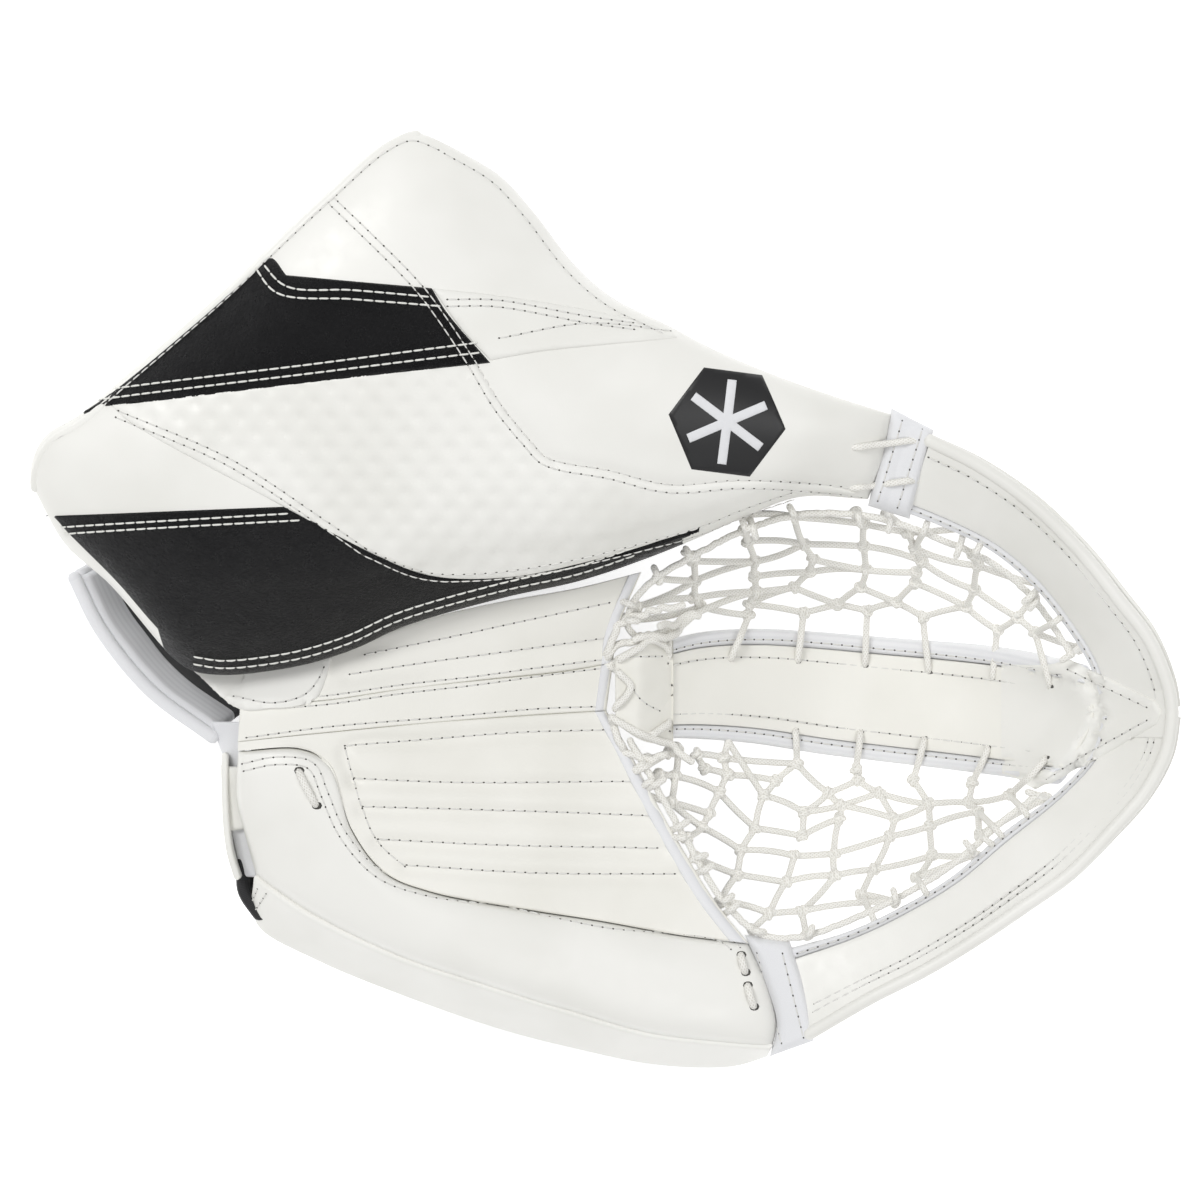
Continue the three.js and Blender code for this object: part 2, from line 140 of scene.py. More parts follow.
class Curve:
    """A centripetal Catmull-Rom curve through points, read by its share of arc length."""

    def __init__(self, points):
        p = np.asarray(points, float)
        p = np.vstack([2 * p[0] - p[1], p, 2 * p[-1] - p[-2]])
        t = np.linspace(0, 1, 24, endpoint=False)[:, None]
        dense = []
        for p0, p1, p2, p3 in zip(p, p[1:], p[2:], p[3:]):
            d0, d1, d2 = (np.linalg.norm(b - a) ** 0.5 for a, b in ((p0, p1), (p1, p2), (p2, p3)))
            leave = d1 * ((p1 - p0) / d0 - (p2 - p0) / (d0 + d1) + (p2 - p1) / d1)
            arrive = d1 * ((p2 - p1) / d1 - (p3 - p1) / (d1 + d2) + (p3 - p2) / d2)
            dense.append((2 * t**3 - 3 * t**2 + 1) * p1 + (t**3 - 2 * t**2 + t) * leave
                         + (3 * t**2 - 2 * t**3) * p2 + (t**3 - t**2) * arrive)
        self.points = np.vstack([*dense, p[-2]])
        self.reach = reaches(self.points)
        self.length = self.reach[-1]

    def __call__(self, share):
        at = np.asarray(share) * self.length
        return np.stack([np.interp(at, self.reach, column) for column in self.points.T], -1)


def reaches(points):
    """How far along a path each of its points lies."""
    return np.concatenate([[0], np.cumsum(np.linalg.norm(np.diff(points, axis=0), axis=1))])


def curved(points, count):
    """A smooth path through points, as count even steps."""
    return Curve(points)(np.linspace(0, 1, count))


def unit(vectors):
    return vectors / np.linalg.norm(vectors, axis=-1, keepdims=True)


def moved(points, dx, dy, dz=0):
    return [(x + dx, y + dy, z + dz) for x, y, z in points]


def coons(low, up, start=None, end=None):
    """A smooth surface inside four edge curves; low and up share their direction, and so do start and end."""
    start = Curve(start or (low[0], up[0]))
    end = Curve(end or (low[-1], up[-1]))
    low, up = Curve(low), Curve(up)
    corners = low(0), low(1), up(0), up(1)

    def surface(u, v):
        a, b = np.asarray(u, float)[..., None], np.asarray(v, float)[..., None]
        sides = low(u) * (1 - b) + up(u) * b + start(v) * (1 - a) + end(v) * a
        return sides - (corners[0] * (1 - a) * (1 - b) + corners[1] * a * (1 - b)
                        + corners[2] * (1 - a) * b + corners[3] * a * b)
    return surface


def crowned(surface, height):
    """The same surface, raised in its middle, or sunk when height is below 0."""
    def raised(u, v):
        p = surface(u, v)
        p[..., 2] += height * (1 - (2 * u - 1) ** 6) * (1 - (2 * v - 1) ** 4)
        return p
    return raised


def leaning(surface):
    """Marks a surface whose layers are stacked along its normals, and not straight up."""
    surface.leans = True
    return surface


def trough(edge_a, edge_b, floor_at):
    """A U-shaped shell between two edges, with the middle third of its width flat at a given height."""
    surface = coons(edge_a, edge_b)

    def shell(u, v):
        p = surface(u, v)
        climb = np.maximum(0, np.abs(2 * v - 1) - TROUGH_FLAT) / (1 - TROUGH_FLAT)
        p[..., 2] -= (p[..., 2] - floor_at(u)) * (1 - climb**2)
        return p
    return leaning(shell)


CUFF = crowned(coons(CUFF_LOWER, CUFF_UPPER, CUFF_OUTER, THUMB_END), CUFF_CROWN)
TEE = leaning(coons(T_LOW, T_UP, None, T_END))
RIM_THUMB = leaning(coons(RIM_IN_THUMB, RIM_OUT_THUMB))
RIM_FINGER = leaning(coons(RIM_IN_FINGER, RIM_OUT_FINGER))
NET_UPPER = crowned(coons(moved(T_UP, -1, 2.5, 1), NET_THUMB_EDGE, NET_ROOT,
                          [(219, -29.5, 73), (217, -26, 77)]), -NET_SAG)
NET_LOWER = crowned(coons(NET_FINGER_EDGE, moved(T_LOW, 0, -2.5, 1),
                          [(14, -66, 68), (20, -67.5, 67)], [(202, -91, 70), (207, -86.5, 65)]), -NET_SAG)
SIDE_WALL = leaning(coons(SIDE_FOOT, moved(ROLL_FOLD, 0, 2.6, 0.4)))
THUMB_TIP = coons([(122, 42, 113), (141, 36, 111)], [(132, 86, 126), (151, 76, 129)])
FINGER_TIP = coons([(79, -213, 59), (99, -205, 68)], [(67, -156, 66), (88, -159, 65)],
                   [(79, -213, 59), (82, -198, 62), (76, -177, 64), (67, -156, 66)],
                   [(99, -205, 68), (98, -196, 69), (94, -177, 67), (88, -159, 65)])
BACK = trough(BACK_OUT, BACK_IN, lambda u: SHELL_FLOOR)
WRIST = trough(WRIST_OUT, WRIST_IN, lambda u: SHELL_FLOOR)
THUMB_BACK = trough(THUMB_BACK_LOW, THUMB_BACK_UP, lambda u: 50 + 26 * u)
HEEL = leaning(coons([(x, y, 22) for x, y in HEEL_PATH], [(x, y, 82) for x, y in HEEL_PATH]))


# ---------------------------------------------------------------- mesh tools

def put(points):
    """Drawing millimetres to metres in the row's frame."""
    return (np.asarray(points, float) + ORIGIN) * MM


def make(name, points, faces, material, uv=None, weld=False, sharp=None):
    """A mesh object from points in drawing millimetres; uv is one pair per point, in metres."""
    data = bpy.data.meshes.new(name)
    data.from_pydata(put(points).tolist(), [], [list(map(int, f)) for f in faces])
    if uv is not None:
        layer = data.uv_layers.new(name="UVMap")
        corners = np.empty(len(data.loops), dtype=np.int32)
        data.loops.foreach_get("vertex_index", corners)
        layer.data.foreach_set("uv", np.asarray(uv, np.float32)[corners].ravel())
    if weld:
        work = bmesh.new()
        work.from_mesh(data)
        bmesh.ops.remove_doubles(work, verts=work.verts, dist=0.02 * MM)
        bmesh.ops.dissolve_degenerate(work, edges=work.edges, dist=0.005 * MM)
        work.to_mesh(data)
        work.free()
    data.polygons.foreach_set("use_smooth", np.ones(len(data.polygons), dtype=bool))
    if sharp:
        data.set_sharp_from_angle(angle=math.radians(sharp))
    data.materials.append(material)
    data.update()
    piece = bpy.data.objects.new(name, data)
    bpy.context.scene.collection.objects.link(piece)
    return piece


def wear(piece, body, *nodes, pad=None):
    """Puts a piece on a body and hides the CAD nodes that it stands for; when the body is a fold, only bakes
    the piece's place.
    """
    if isinstance(body, tuple):
        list(body)
        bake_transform(piece)
    else:
        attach(piece, body)
    material = piece.data.materials[0].name.split(".")[0]  # Blender numbers names that the frame already has
    SLOTS.get(material, material)
    if nodes:
        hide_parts(*nodes)


def normals(surface, u, v, step=1e-3):
    hi_u, lo_u = np.minimum(u + step, 1), np.maximum(u - step, 0)
    hi_v, lo_v = np.minimum(v + step, 1), np.maximum(v - step, 0)
    return unit(np.cross(surface(hi_u, v) - surface(lo_u, v), surface(u, hi_v) - surface(u, lo_v)))


def grid_faces(nu, nv, first=0, flip=False):
    """Quads over a grid of nu by nv cells whose points are stored row by row."""
    i, j = np.meshgrid(np.arange(nu), np.arange(nv), indexing="ij")
    a = (first + i * (nv + 1) + j).ravel()
    quads = np.stack([a, a + nv + 1, a + nv + 2, a + 1], 1)
    return quads[:, ::-1] if flip else quads


def spread(length, step, start, end):
    """Places along a length: even in the middle, crowded into the rounded start and end."""
    turn = 1 - np.cos(np.linspace(0, math.pi / 2, 6))
    head = start * turn if start else np.zeros(1)
    tail = length - (end * turn[::-1] if end else np.zeros(1))
    count = max(1, round((tail[0] - head[-1]) / step))
    return np.concatenate([head[:-1], np.linspace(head[-1], tail[0], count + 1), tail[1:]])


def rounding(at, length, start, end):
    """The share of full thickness that a rounded slab has at each place along a length."""
    share = np.ones_like(at)
    for radius, gap in ((start, at), (end, length - at)):
        if radius:
            share *= np.sqrt(np.clip(1 - np.clip(1 - gap / radius, 0, 1) ** 2, 0, 1))
    return share


def slab(name, surface, thickness, step, material, *, lift=0.0, edge=None, u=(0, 1), v=(0, 1), relief=None,
         under=None):
    """A padded layer that hangs below surface by its thickness, with rounded edges.

    edge is the rounding's width, or its widths at low u, high u, low v and high v. relief and under raise the
    top and lower the underside by a height that depends on x and y."""
    edge = edge if isinstance(edge, tuple) else (edge or thickness / 2,) * 4
    fine = np.linspace(0, 1, 60)
    length_u = reaches(surface(u[0] + fine * (u[1] - u[0]), np.full(60, (v[0] + v[1]) / 2)))[-1]
    length_v = reaches(surface(np.full(60, (u[0] + u[1]) / 2), v[0] + fine * (v[1] - v[0])))[-1]
    at_u = spread(length_u, step, edge[0], edge[1])
    at_v = spread(length_v, step, edge[2], edge[3])
    share = np.outer(rounding(at_u, length_u, *edge[:2]), rounding(at_v, length_v, *edge[2:])).ravel()
    grid = np.meshgrid(u[0] + at_u / length_u * (u[1] - u[0]), v[0] + at_v / length_v * (v[1] - v[0]),
                       indexing="ij")
    grid_u, grid_v = (values.ravel() for values in grid)
    middle = surface(grid_u, grid_v)
    leans = getattr(surface, "leans", False)
    n = normals(surface, grid_u, grid_v) if leans else np.broadcast_to(UP, middle.shape)
    top = lift - thickness / 2 * (1 - share)
    bottom = lift - thickness / 2 * (1 + share)
    if relief is not None:
        top = top + relief(middle[:, :2]) * share
    if under is not None:
        bottom = bottom - under(middle[:, :2]) * share
    points = np.vstack([middle + n * top[:, None], middle + n * bottom[:, None]])
    nu, nv, half = len(at_u) - 1, len(at_v) - 1, len(middle)
    faces = [*grid_faces(nu, nv), *grid_faces(nu, nv, half, flip=True)]
    sides = [(j, nv + 1, nu, order) for j, order in ((0, 1), (nv, -1))]
    sides += [(i * (nv + 1), 1, nv, order) for i, order in ((0, -1), (nu, 1))]
    for first, stride, count, order in sides:
        for a in range(first, first + stride * count, stride):
            faces.append([a, a + half, a + stride + half, a + stride][::order])
    uv = np.stack([grid_u * length_u, grid_v * length_v], 1) * MM
    return make(name, points, faces, material, uv=np.vstack([uv, uv]), weld=True, sharp=60)


def distance(xy, path):
    """How far each point is from a flat path."""
    path = np.asarray(path, float)[:, :2]
    best = np.full(len(xy), 1e9)
    for a, b in zip(path, path[1:]):
        along = np.clip(((xy - a) @ (b - a)) / max((b - a) @ (b - a), 1e-9), 0, 1)
        best = np.minimum(best, np.linalg.norm(xy - a - along[:, None] * (b - a), axis=1))
    return best


def smooth(points, gap=1.5):
    """A flat path through points, with a point about every gap."""
    curve = Curve([(x, y, 0) for x, y, *_ in points])
    return curve(np.linspace(0, 1, max(2, math.ceil(curve.length / gap) + 1)))[:, :2]


def outline(*runs, gap=1.5):
    """A closed loop from smooth runs of points that meet in corners."""
    return np.vstack([smooth(run, gap)[:-1] for run in runs])


def left_of(path):
    """The flat direction to the left of a path, at each of its points."""
    along = np.gradient(path, axis=0)
    return unit(np.stack([-along[:, 1], along[:, 0]], 1))


def beside(path, gap):
    """A path a little to the left of another, or to its right when gap is below 0."""
    line = smooth(path, 4)
    return line + left_of(line) * gap


def double(path, gap=3.4):
    return [path, beside(path, -gap)]


def grooves(paths, depth, width):
    """A relief that sinks along each path."""
    lines = [smooth(path, 4) for path in paths]
    return lambda xy: -depth * sum(np.exp(-(distance(xy, line) / width) ** 2) for line in lines)


def ripples(size, height, seed=0.0):
    """Slow, uneven swells, as leather has over foam."""
    def relief(xy):
        x, y = xy.T / size
        return height * (np.sin(1.7 * x + 0.6 * y + seed) * np.sin(0.9 * y - 0.5 * x + 2 * seed)
                         + 0.5 * np.sin(3.1 * x - 2.3 * y + seed) * np.sin(1.9 * y + 1.1 * x))
    return relief


def dimples(pitch, depth, fade):
    """Staggered round-cornered diamonds that fade away between two values of x."""
    def relief(xy):
        x, y = xy.T
        wave = np.cos(math.pi * (x + y) / pitch) ** 2 * np.cos(math.pi * (x - y) / pitch) ** 2
        share = np.clip((fade[1] - x) / (fade[1] - fade[0]), 0, 1)
        return -depth * wave * share**2 * (3 - 2 * share)
    return relief


def total(*reliefs):
    return lambda xy: sum(relief(xy) for relief in reliefs)


class Ground:
    """The upper faces of some pieces, or of a bare surface, to lay other pieces on."""

    def __init__(self, points, faces):
        self.tree = BVHTree.FromPolygons(np.asarray(points).tolist(), [list(map(int, f)) for f in faces])

    @classmethod
    def of(cls, *names):
        points, faces = [], []
        for name in names:
            first, data = len(points), bpy.data.objects[name].data
            points += [v.co[:] for v in data.vertices]
            faces += [[first + i for i in p.vertices] for p in data.polygons]
        return cls(points, faces)

    def __call__(self, xy):
        """Heights and normals, in drawing millimetres, under each point."""
        heights, ups = np.empty(len(xy)), np.empty((len(xy), 3))
        last_z = 0.1
        for k, (x, y) in enumerate(xy):
            start = Vector((*put((x, y, 0))[:2], 0.5))
            hit, n, _, _ = self.tree.ray_cast(start, Vector((0, 0, -1)))
            if hit is None:
                hit, n, _, _ = self.tree.find_nearest(Vector((start.x, start.y, last_z)))
            last_z = hit.z
            heights[k], ups[k] = hit.z / MM, n
        return heights, ups * np.where(ups[:, 2] < 0, -1, 1)[:, None]


def over(ground, points, lift=0.0, gap=1.5):
    """A trace of a flat path over the ground: its points and normals."""
    xy = smooth(points, gap)
    z, n = ground(xy)
    return np.column_stack([xy, z]) + n * lift, n


def on(surface, u, v, lift=0.0, facing=1, count=80):
    """A trace along a surface between pairs of u and v values, at a height over it."""
    at_u, at_v = (np.linspace(*np.broadcast_to(value, 2), count) for value in (u, v))
    n = normals(surface, at_u, at_v)
    return surface(at_u, at_v) + n * lift, n * facing


def frames(points, n):
    """Unit tangents, sides and outward directions along a trace."""
    t = unit(np.gradient(points, axis=0))
    side = unit(np.cross(n, t))
    return t, side, np.cross(t, side)


def at_length(points, n, places):
    reach = reaches(points)
    return [np.stack([np.interp(places, reach, c) for c in values.T], -1) for values in (points, n)]


def circle(sides):
    """The cosines and sines of even steps round a circle."""
    angle = np.arange(sides) * 2 * math.pi / sides
    return np.cos(angle), np.sin(angle)


def rings(cores, side, out, width, sides, flat=1.0):
    """The points of a tube: one ring round each core, squashed along out by flat."""
    cos, sin = circle(sides)
    ring = cos[None, :, None] * side[:, None] + flat * sin[None, :, None] * out[:, None]
    return (cores[:, None] + ring * width[:, None, None]).reshape(-1, 3)


def ring_faces(rows, sides, first=0):
    """The faces of a closed tube whose rings are stored one after another."""
    k, m = (grid.ravel() for grid in np.meshgrid(np.arange(rows - 1), np.arange(sides), indexing="ij"))
    a, b = first + k * sides + m, first + k * sides + (m + 1) % sides
    cap = first + np.arange(sides)
    return [*np.stack([a, b, b + sides, a + sides], 1), cap[::-1], cap + (rows - 1) * sides]


def stitches(name, traces, material, length=STITCH_LENGTH, radius=THREAD):
    """Rows of single stitches, each a short thread that dips into the leather at both ends."""
    # Where along a stitch, how thick and how high
    shape = np.array([(-1, .35, -.45), (-.72, .95, .1), (0, 1.0, .3), (.72, .95, .1), (1, .35, -.45)])
    sides, points, faces = 6, [], []
    for trace in traces:
        for centre in np.arange(STITCH_PITCH / 2, reaches(trace[0])[-1] - length / 2, STITCH_PITCH):
            where, n = at_length(*trace, centre + shape[:, 0] * length / 2)
            _, side, out = frames(where, n)
            core = where + out * (shape[:, 2] * radius)[:, None]
            faces += ring_faces(len(shape), sides, len(points) * len(shape) * sides)
            points.append(rings(core, side, out, radius * shape[:, 1], sides))
    return make(name, np.vstack(points), faces, material)


def needle_holes(name, traces, material, pitch=STITCH_PITCH, size=(0.55, 0.4)):
    """The small pits between stitches, coloured dark as painted shade inside the holes."""
    sides, points, faces = 8, [], []
    cos, sin = circle(sides)
    for trace in traces:
        where, n = at_length(*trace, np.arange(0, reaches(trace[0])[-1], pitch))
        if len(where) < 2:
            continue
        for p, a, b, c in zip(where, *frames(where, n)):
            first = len(points) * (sides + 2)
            ring = p + np.outer(cos * size[0], a) + np.outer(sin * size[1], b)
            points.append(np.vstack([ring - c * 0.05, p + c * 0.09, p - c * 0.4]))
            for m in range(sides):
                k = (m + 1) % sides
                faces += [(first + m, first + k, first + sides), (first + k, first + m, first + sides + 1)]
    return make(name, np.vstack(points), faces, material)


def tube_parts(points, radius, sides, flat):
    """A closed tube along points, squashed by flat: its vertices, faces and UVs."""
    points = np.asarray(points, float)
    t = unit(np.gradient(points, axis=0))
    side = np.empty_like(points)
    guide = np.array([1.0, 0, 0]) if abs(UP @ t[0]) > 0.95 else UP
    side[0] = np.cross(guide, t[0])
    for k in range(1, len(points)):
        side[k] = side[k - 1] - t[k] * (side[k - 1] @ t[k])
        if np.linalg.norm(side[k]) < 1e-6:
            side[k] = side[k - 1]
    side = unit(side)
    ends = np.array([0.55, 0.92])
    stubs = np.array([[0.9], [0.45]]) * radius
    cores = np.vstack([points[:1] - t[:1] * stubs, points, points[-1:] + t[-1:] * stubs[::-1]])
    width = np.concatenate([ends, np.ones(len(points)), ends[::-1]]) * radius
    side, out, reach = (np.concatenate([a[:1], a[:1], a, a[-1:], a[-1:]])
                        for a in (side, np.cross(t, side), reaches(points)))
    turn = np.abs(np.linspace(-1, 1, sides, endpoint=False)) * radius * math.pi
    uv = np.stack(np.broadcast_arrays(reach[:, None], turn[None]), -1).reshape(-1, 2) * MM
    return rings(cores, side, out, width, sides, flat), ring_faces(len(cores), sides), uv


def cords(name, paths, radius, material, sides=8, flat=1.0):
    """Several lengths of lace as one piece."""
    points, faces, uvs, first = [], [], [], 0
    for path in paths:
        verts, quads, uv = tube_parts(path, radius, sides, flat)
        points.append(verts)
        uvs.append(uv)
        faces += [face + first for face in quads]
        first += len(verts)
    return make(name, np.vstack(points), faces, material, uv=np.vstack(uvs))


def inside(xy, loop):
    """Which points lie in a closed flat loop."""
    x, y = xy[:, 0][:, None], xy[:, 1][:, None]
    x0, y0 = loop.T
    x1, y1 = np.roll(loop, -1, axis=0).T
    crosses = ((y0 > y) != (y1 > y)) & (x < (x1 - x0) * (y - y0) / np.where(y1 == y0, 1e-9, y1 - y0) + x0)
    return crosses.sum(axis=1) % 2 == 1


def patch(name, loop, ground, thickness, material, *, step=2.5, lip=0.7, relief=None, sink=0.5):
    """A flat piece of leather of any outline, laid on the ground with a rounded cut edge."""
    turn = np.sum(loop[:, 0] * np.roll(loop[:, 1], -1) - np.roll(loop[:, 0], -1) * loop[:, 1])
    loop = loop if turn > 0 else loop[::-1]
    closed = np.vstack([loop, loop[:1]])
    along = np.roll(loop, -1, axis=0) - np.roll(loop, 1, axis=0)
    inner = loop + unit(np.stack([-along[:, 1], along[:, 0]], 1)) * lip
    inner = inner[inside(inner, loop) & (distance(inner, closed) > lip * 0.6)]
    low, high = loop.min(0), loop.max(0)
    rows = enumerate(np.arange(low[1], high[1], step * 0.87))
    fill = np.array([(x + (k % 2) * step / 2, y) for k, y in rows for x in np.arange(low[0], high[0], step)])
    fill = fill[inside(fill, loop)]
    fill = fill[distance(fill, closed) > lip + step * 0.5]
    edges = [(k, (k + 1) % len(loop)) for k in range(len(loop))]
    points = [Vector(p) for p in np.vstack([loop, inner, fill]).tolist()]
    flat, _, faces, _, _, _ = delaunay_2d_cdt(points, edges, [], 1, 1e-4)
    flat = np.array([v[:] for v in flat])
    z, n = ground(flat)
    rise = np.clip(distance(flat, closed) / lip, 0, 1)
    height = thickness * np.sqrt(np.clip(1 - (1 - rise) ** 2, 0, 1))
    if relief is not None:
        height = height + relief(flat) * rise
    top = np.column_stack([flat, z]) + n * height[:, None]
    bottom = np.column_stack([flat, z]) - n * sink
    half = len(flat)
    borders = {(a, b): None for f in faces for a, b in zip(f, [*f[1:], f[0]])}
    sides = [(b, a, a + half, b + half) for a, b in borders if (b, a) not in borders]
    faces = [*faces, *[[i + half for i in f][::-1] for f in faces], *sides]
    return make(name, np.vstack([top, bottom]), faces, material, sharp=70)


def sleeve(name, start, end, rx, rz, wall, material, sides=32):
    """An open oval sleeve with rounded mouths."""
    start, end = np.asarray(start, float), np.asarray(end, float)
    t = unit(end - start)
    side = unit(np.cross(UP, t))
    out = np.cross(t, side)
    # The wall's section: which mouth it is measured from, how far past it and how deep in
    profile = [(start, 0, wall / 2), (start, wall * 0.3, 0.1), (start, wall, 0), (end, -wall, 0),
               (end, -wall * 0.3, 0.1), (end, 0, wall / 2), (end, -wall * 0.3, wall - 0.1),
               (end, -wall, wall),
               (start, wall, wall), (start, wall * 0.3, wall - 0.1)]
    cos, sin = circle(sides)
    points = [base + t * along + np.outer(cos * (rx - depth), side) + np.outer(sin * (rz - depth), out)
              for base, along, depth in profile]
    rows = len(profile)
    faces = [[k * sides + m, k * sides + (m + 1) % sides, (k + 1) % rows * sides + (m + 1) % sides,
              (k + 1) % rows * sides + m][::-1] for k in range(rows) for m in range(sides)]
    return make(name, np.vstack(points), faces, material, sharp=60)


def layer(name, body, surface, thickness, step, material, *nodes, pad=None, **shape):
    """A slab, worn by a body."""
    wear(slab(name, surface, thickness, step, material, **shape), body, *nodes, pad=pad)


# ---------------------------------------------------------------- materials

class Look:
    """A node material in the making: its nodes, and the Principled shader they lead to."""

    def __init__(self, name):
        self.made = bpy.data.materials.new(name)
        self.made.use_nodes = True
        self.tree = self.made.node_tree
        self.uv, self.where = (self.add("TexCoord", kind) for kind in ("UV", "Object"))

    def fill(self, node, inputs):
        """Sets or links inputs by name, with _ for a space, or by number after a _."""
        for key, value in inputs.items():
            socket = node.inputs[int(key[1:])] if key[0] == "_" else node.inputs[key.replace("_", " ")]
            if isinstance(value, bpy.types.NodeSocket):
                self.tree.links.new(value, socket)
            else:
                socket.default_value = value

    def add(self, kind, output, settings=None, **inputs):
        node = self.tree.nodes.new("ShaderNode" + kind)
        for key, value in (settings or {}).items():
            setattr(node, key, value)
        self.fill(node, inputs)
        return node.outputs[output]

    def noise(self, scale, detail, **inputs):
        return self.add("TexNoise", "Fac", Vector=self.where, Scale=scale, Detail=detail, **inputs)

    def math(self, operation, *values):
        inputs = {f"_{k}": value for k, value in enumerate(values)}
        return self.add("Math", 0, {"operation": operation}, **inputs)

    def bump(self, height, strength, depth, **inputs):
        return self.add("Bump", "Normal", Strength=strength, Distance=depth * MM, Height=height, **inputs)

    def ramp(self, value, low, shade, high, base):
        """The colour shade where value is low, and base where it is high."""
        color = self.add("ValToRGB", "Color", _0=value)
        stops = color.node.color_ramp.elements
        for stop, place, tint in ((stops[0], low, shade), (stops[1], high, base)):
            stop.position, stop.color = place, (*tint, 1)
        return color

    def done(self, **inputs):
        principled = next(n for n in self.tree.nodes if n.type == "BSDF_PRINCIPLED")
        self.fill(principled, inputs)
        return self.made


def leather(name, base, shade, grain, depth, rough, specular=0.5, strength=0.55):
    """Grained leather: rounded cells, fine pores, faint long creases and a slow drift of colour."""
    look = Look(name)
    cells = look.add("TexVoronoi", "Distance", {"feature": "SMOOTH_F1"}, Vector=look.where,
                     Scale=1000 / grain,
                     Smoothness=0.35)
    bump = look.bump(look.math("MULTIPLY_ADD", cells, 0.55, look.noise(2200, 3)), strength, depth)
    creases = look.noise(42, 7, Roughness=0.62, Distortion=1.2)
    bump = look.bump(creases, 0.35, depth * 3, Normal=bump)
    worn = look.add("MapRange", 0, Value=look.noise(160, 5), _1=0.3, _2=0.7, _3=rough - 0.06, _4=rough + 0.08)
    return look.done(Base_Color=look.ramp(look.noise(14, 3), 0.36, shade, 0.58, base), Roughness=worn,
                     Normal=bump,
                     Specular_IOR_Level=specular)


def woven(name, base, shade, pitch, depth):
    """A plain weave: two crossed sets of ribs, with fibres; its colour darkens in the grooves as painted
    shade.
    """
    look = Look(name)
    scale = 0.314 / (pitch * MM)  # two pi waves of a wave texture to a rib
    warp, weft = (look.add("TexWave", "Fac", {"bands_direction": axis}, Vector=look.uv, Scale=scale)
                  for axis in "XY")
    height = look.math("MULTIPLY_ADD", look.noise(2600, 3), 0.4, look.math("MULTIPLY", warp, weft))
    # The ramp on the weave's height paints shade into the grooves between the ribs.
    return look.done(Base_Color=look.ramp(height, 0.15, shade, 0.75, base), Roughness=0.85,
                     Normal=look.bump(height, 0.6, depth), Sheen_Weight=0.2, Sheen_Roughness=0.5)


def braided(name, base, shade, pitch, depth):
    """Braided lace: ribs that cross at a slant along the cord, with painted shade darkening the grooves
    between them.
    """
    look = Look(name)
    split = look.add("SeparateXYZ", "X", Vector=look.uv).node.outputs
    slants = [look.math("MULTIPLY_ADD", split["Y"], 1.3 * sign, split["X"]) for sign in (1, -1)]
    ribs = [look.math("SINE", look.math("MULTIPLY", slant, 2 * math.pi / (pitch * MM))) for slant in slants]
    height = look.math("MULTIPLY_ADD", look.math("MAXIMUM", *ribs), 0.5, look.noise(1800, 3))
    # The ramp on the braid's height paints shade into the grooves between the ribs.
    return look.done(Base_Color=look.ramp(height, 0.1, shade, 0.9, base), Roughness=0.78,
                     Normal=look.bump(height, 0.7, depth), Sheen_Weight=0.15)


def brushed(name, base, shade, depth):
    """A napped lining: short fibres with no weave."""
    look = Look(name)
    nap = look.noise(1500, 6, Roughness=0.7)
    return look.done(Base_Color=look.ramp(look.noise(90, 4), 0.35, shade, 0.65, base), Roughness=0.95,
                     Normal=look.bump(nap, 0.8, depth), Sheen_Weight=0.4, Sheen_Roughness=0.4)


def moulded(name, base, shade, rough=0.5):
    """Sheet plastic or ink with a fine matt texture."""
    look = Look(name)
    return look.done(Base_Color=look.ramp(look.noise(60, 3), 0.3, shade, 0.7, base), Roughness=rough,
                     Normal=look.bump(look.noise(1200, 2), 0.3, 0.05))


WHITE_LEATHER = leather("white_leather", (0.84, 0.835, 0.80), (0.79, 0.785, 0.745), 0.9, 0.035, 0.42)
PALM_LEATHER = leather("palm_leather", (0.845, 0.835, 0.785), (0.80, 0.79, 0.735), 0.8, 0.04, 0.5)
BLACK_LEATHER = leather("black_leather", (0.004, 0.004, 0.005), (0.002, 0.002, 0.003), 1.6, 1.6, 0.3, 0.3,
                        0.9)
# The second colour of each weave and braid below is painted shade for its grooves.
WHITE_NYLON = woven("white_nylon", (0.84, 0.845, 0.86), (0.73, 0.735, 0.755), 0.45, 0.05)
WHITE_WEBBING = woven("white_webbing", (0.82, 0.82, 0.83), (0.6, 0.6, 0.62), 1.3, 0.22)
BLACK_NYLON = woven("black_nylon", (0.022, 0.022, 0.024), (0.008, 0.008, 0.009), 0.8, 0.12)
LACE_CORD = braided("lace_cord", (0.92, 0.91, 0.87), (0.72, 0.70, 0.64), 2.0, 0.3)
THREAD_WHITE = braided("white_thread", (0.86, 0.86, 0.82), (0.7, 0.7, 0.66), 0.6, 0.03)
# A darker copy of the white thread: painted shade for the seams on white leather and webbing.
SHADED_THREAD = braided("grey_thread", (0.80, 0.795, 0.77), (0.66, 0.655, 0.63), 0.6, 0.03)
# The dark colour of needle holes and eyelets is painted shade inside the holes.
HOLE_SHADE = moulded("needle_hole", (0.13, 0.125, 0.115), (0.08, 0.078, 0.07), 0.9)
LINING = brushed("felt_lining", (0.05, 0.052, 0.057), (0.025, 0.026, 0.03), 0.25)
LOOP_PILE = brushed("hook_patch", (0.03, 0.03, 0.033), (0.012, 0.012, 0.014), 0.5)
BOARD = moulded("board", (0.76, 0.76, 0.73), (0.70, 0.70, 0.68))
EMBLEM_INK = moulded("emblem_ink", (0.010, 0.010, 0.011), (0.007, 0.007, 0.008), 0.42)

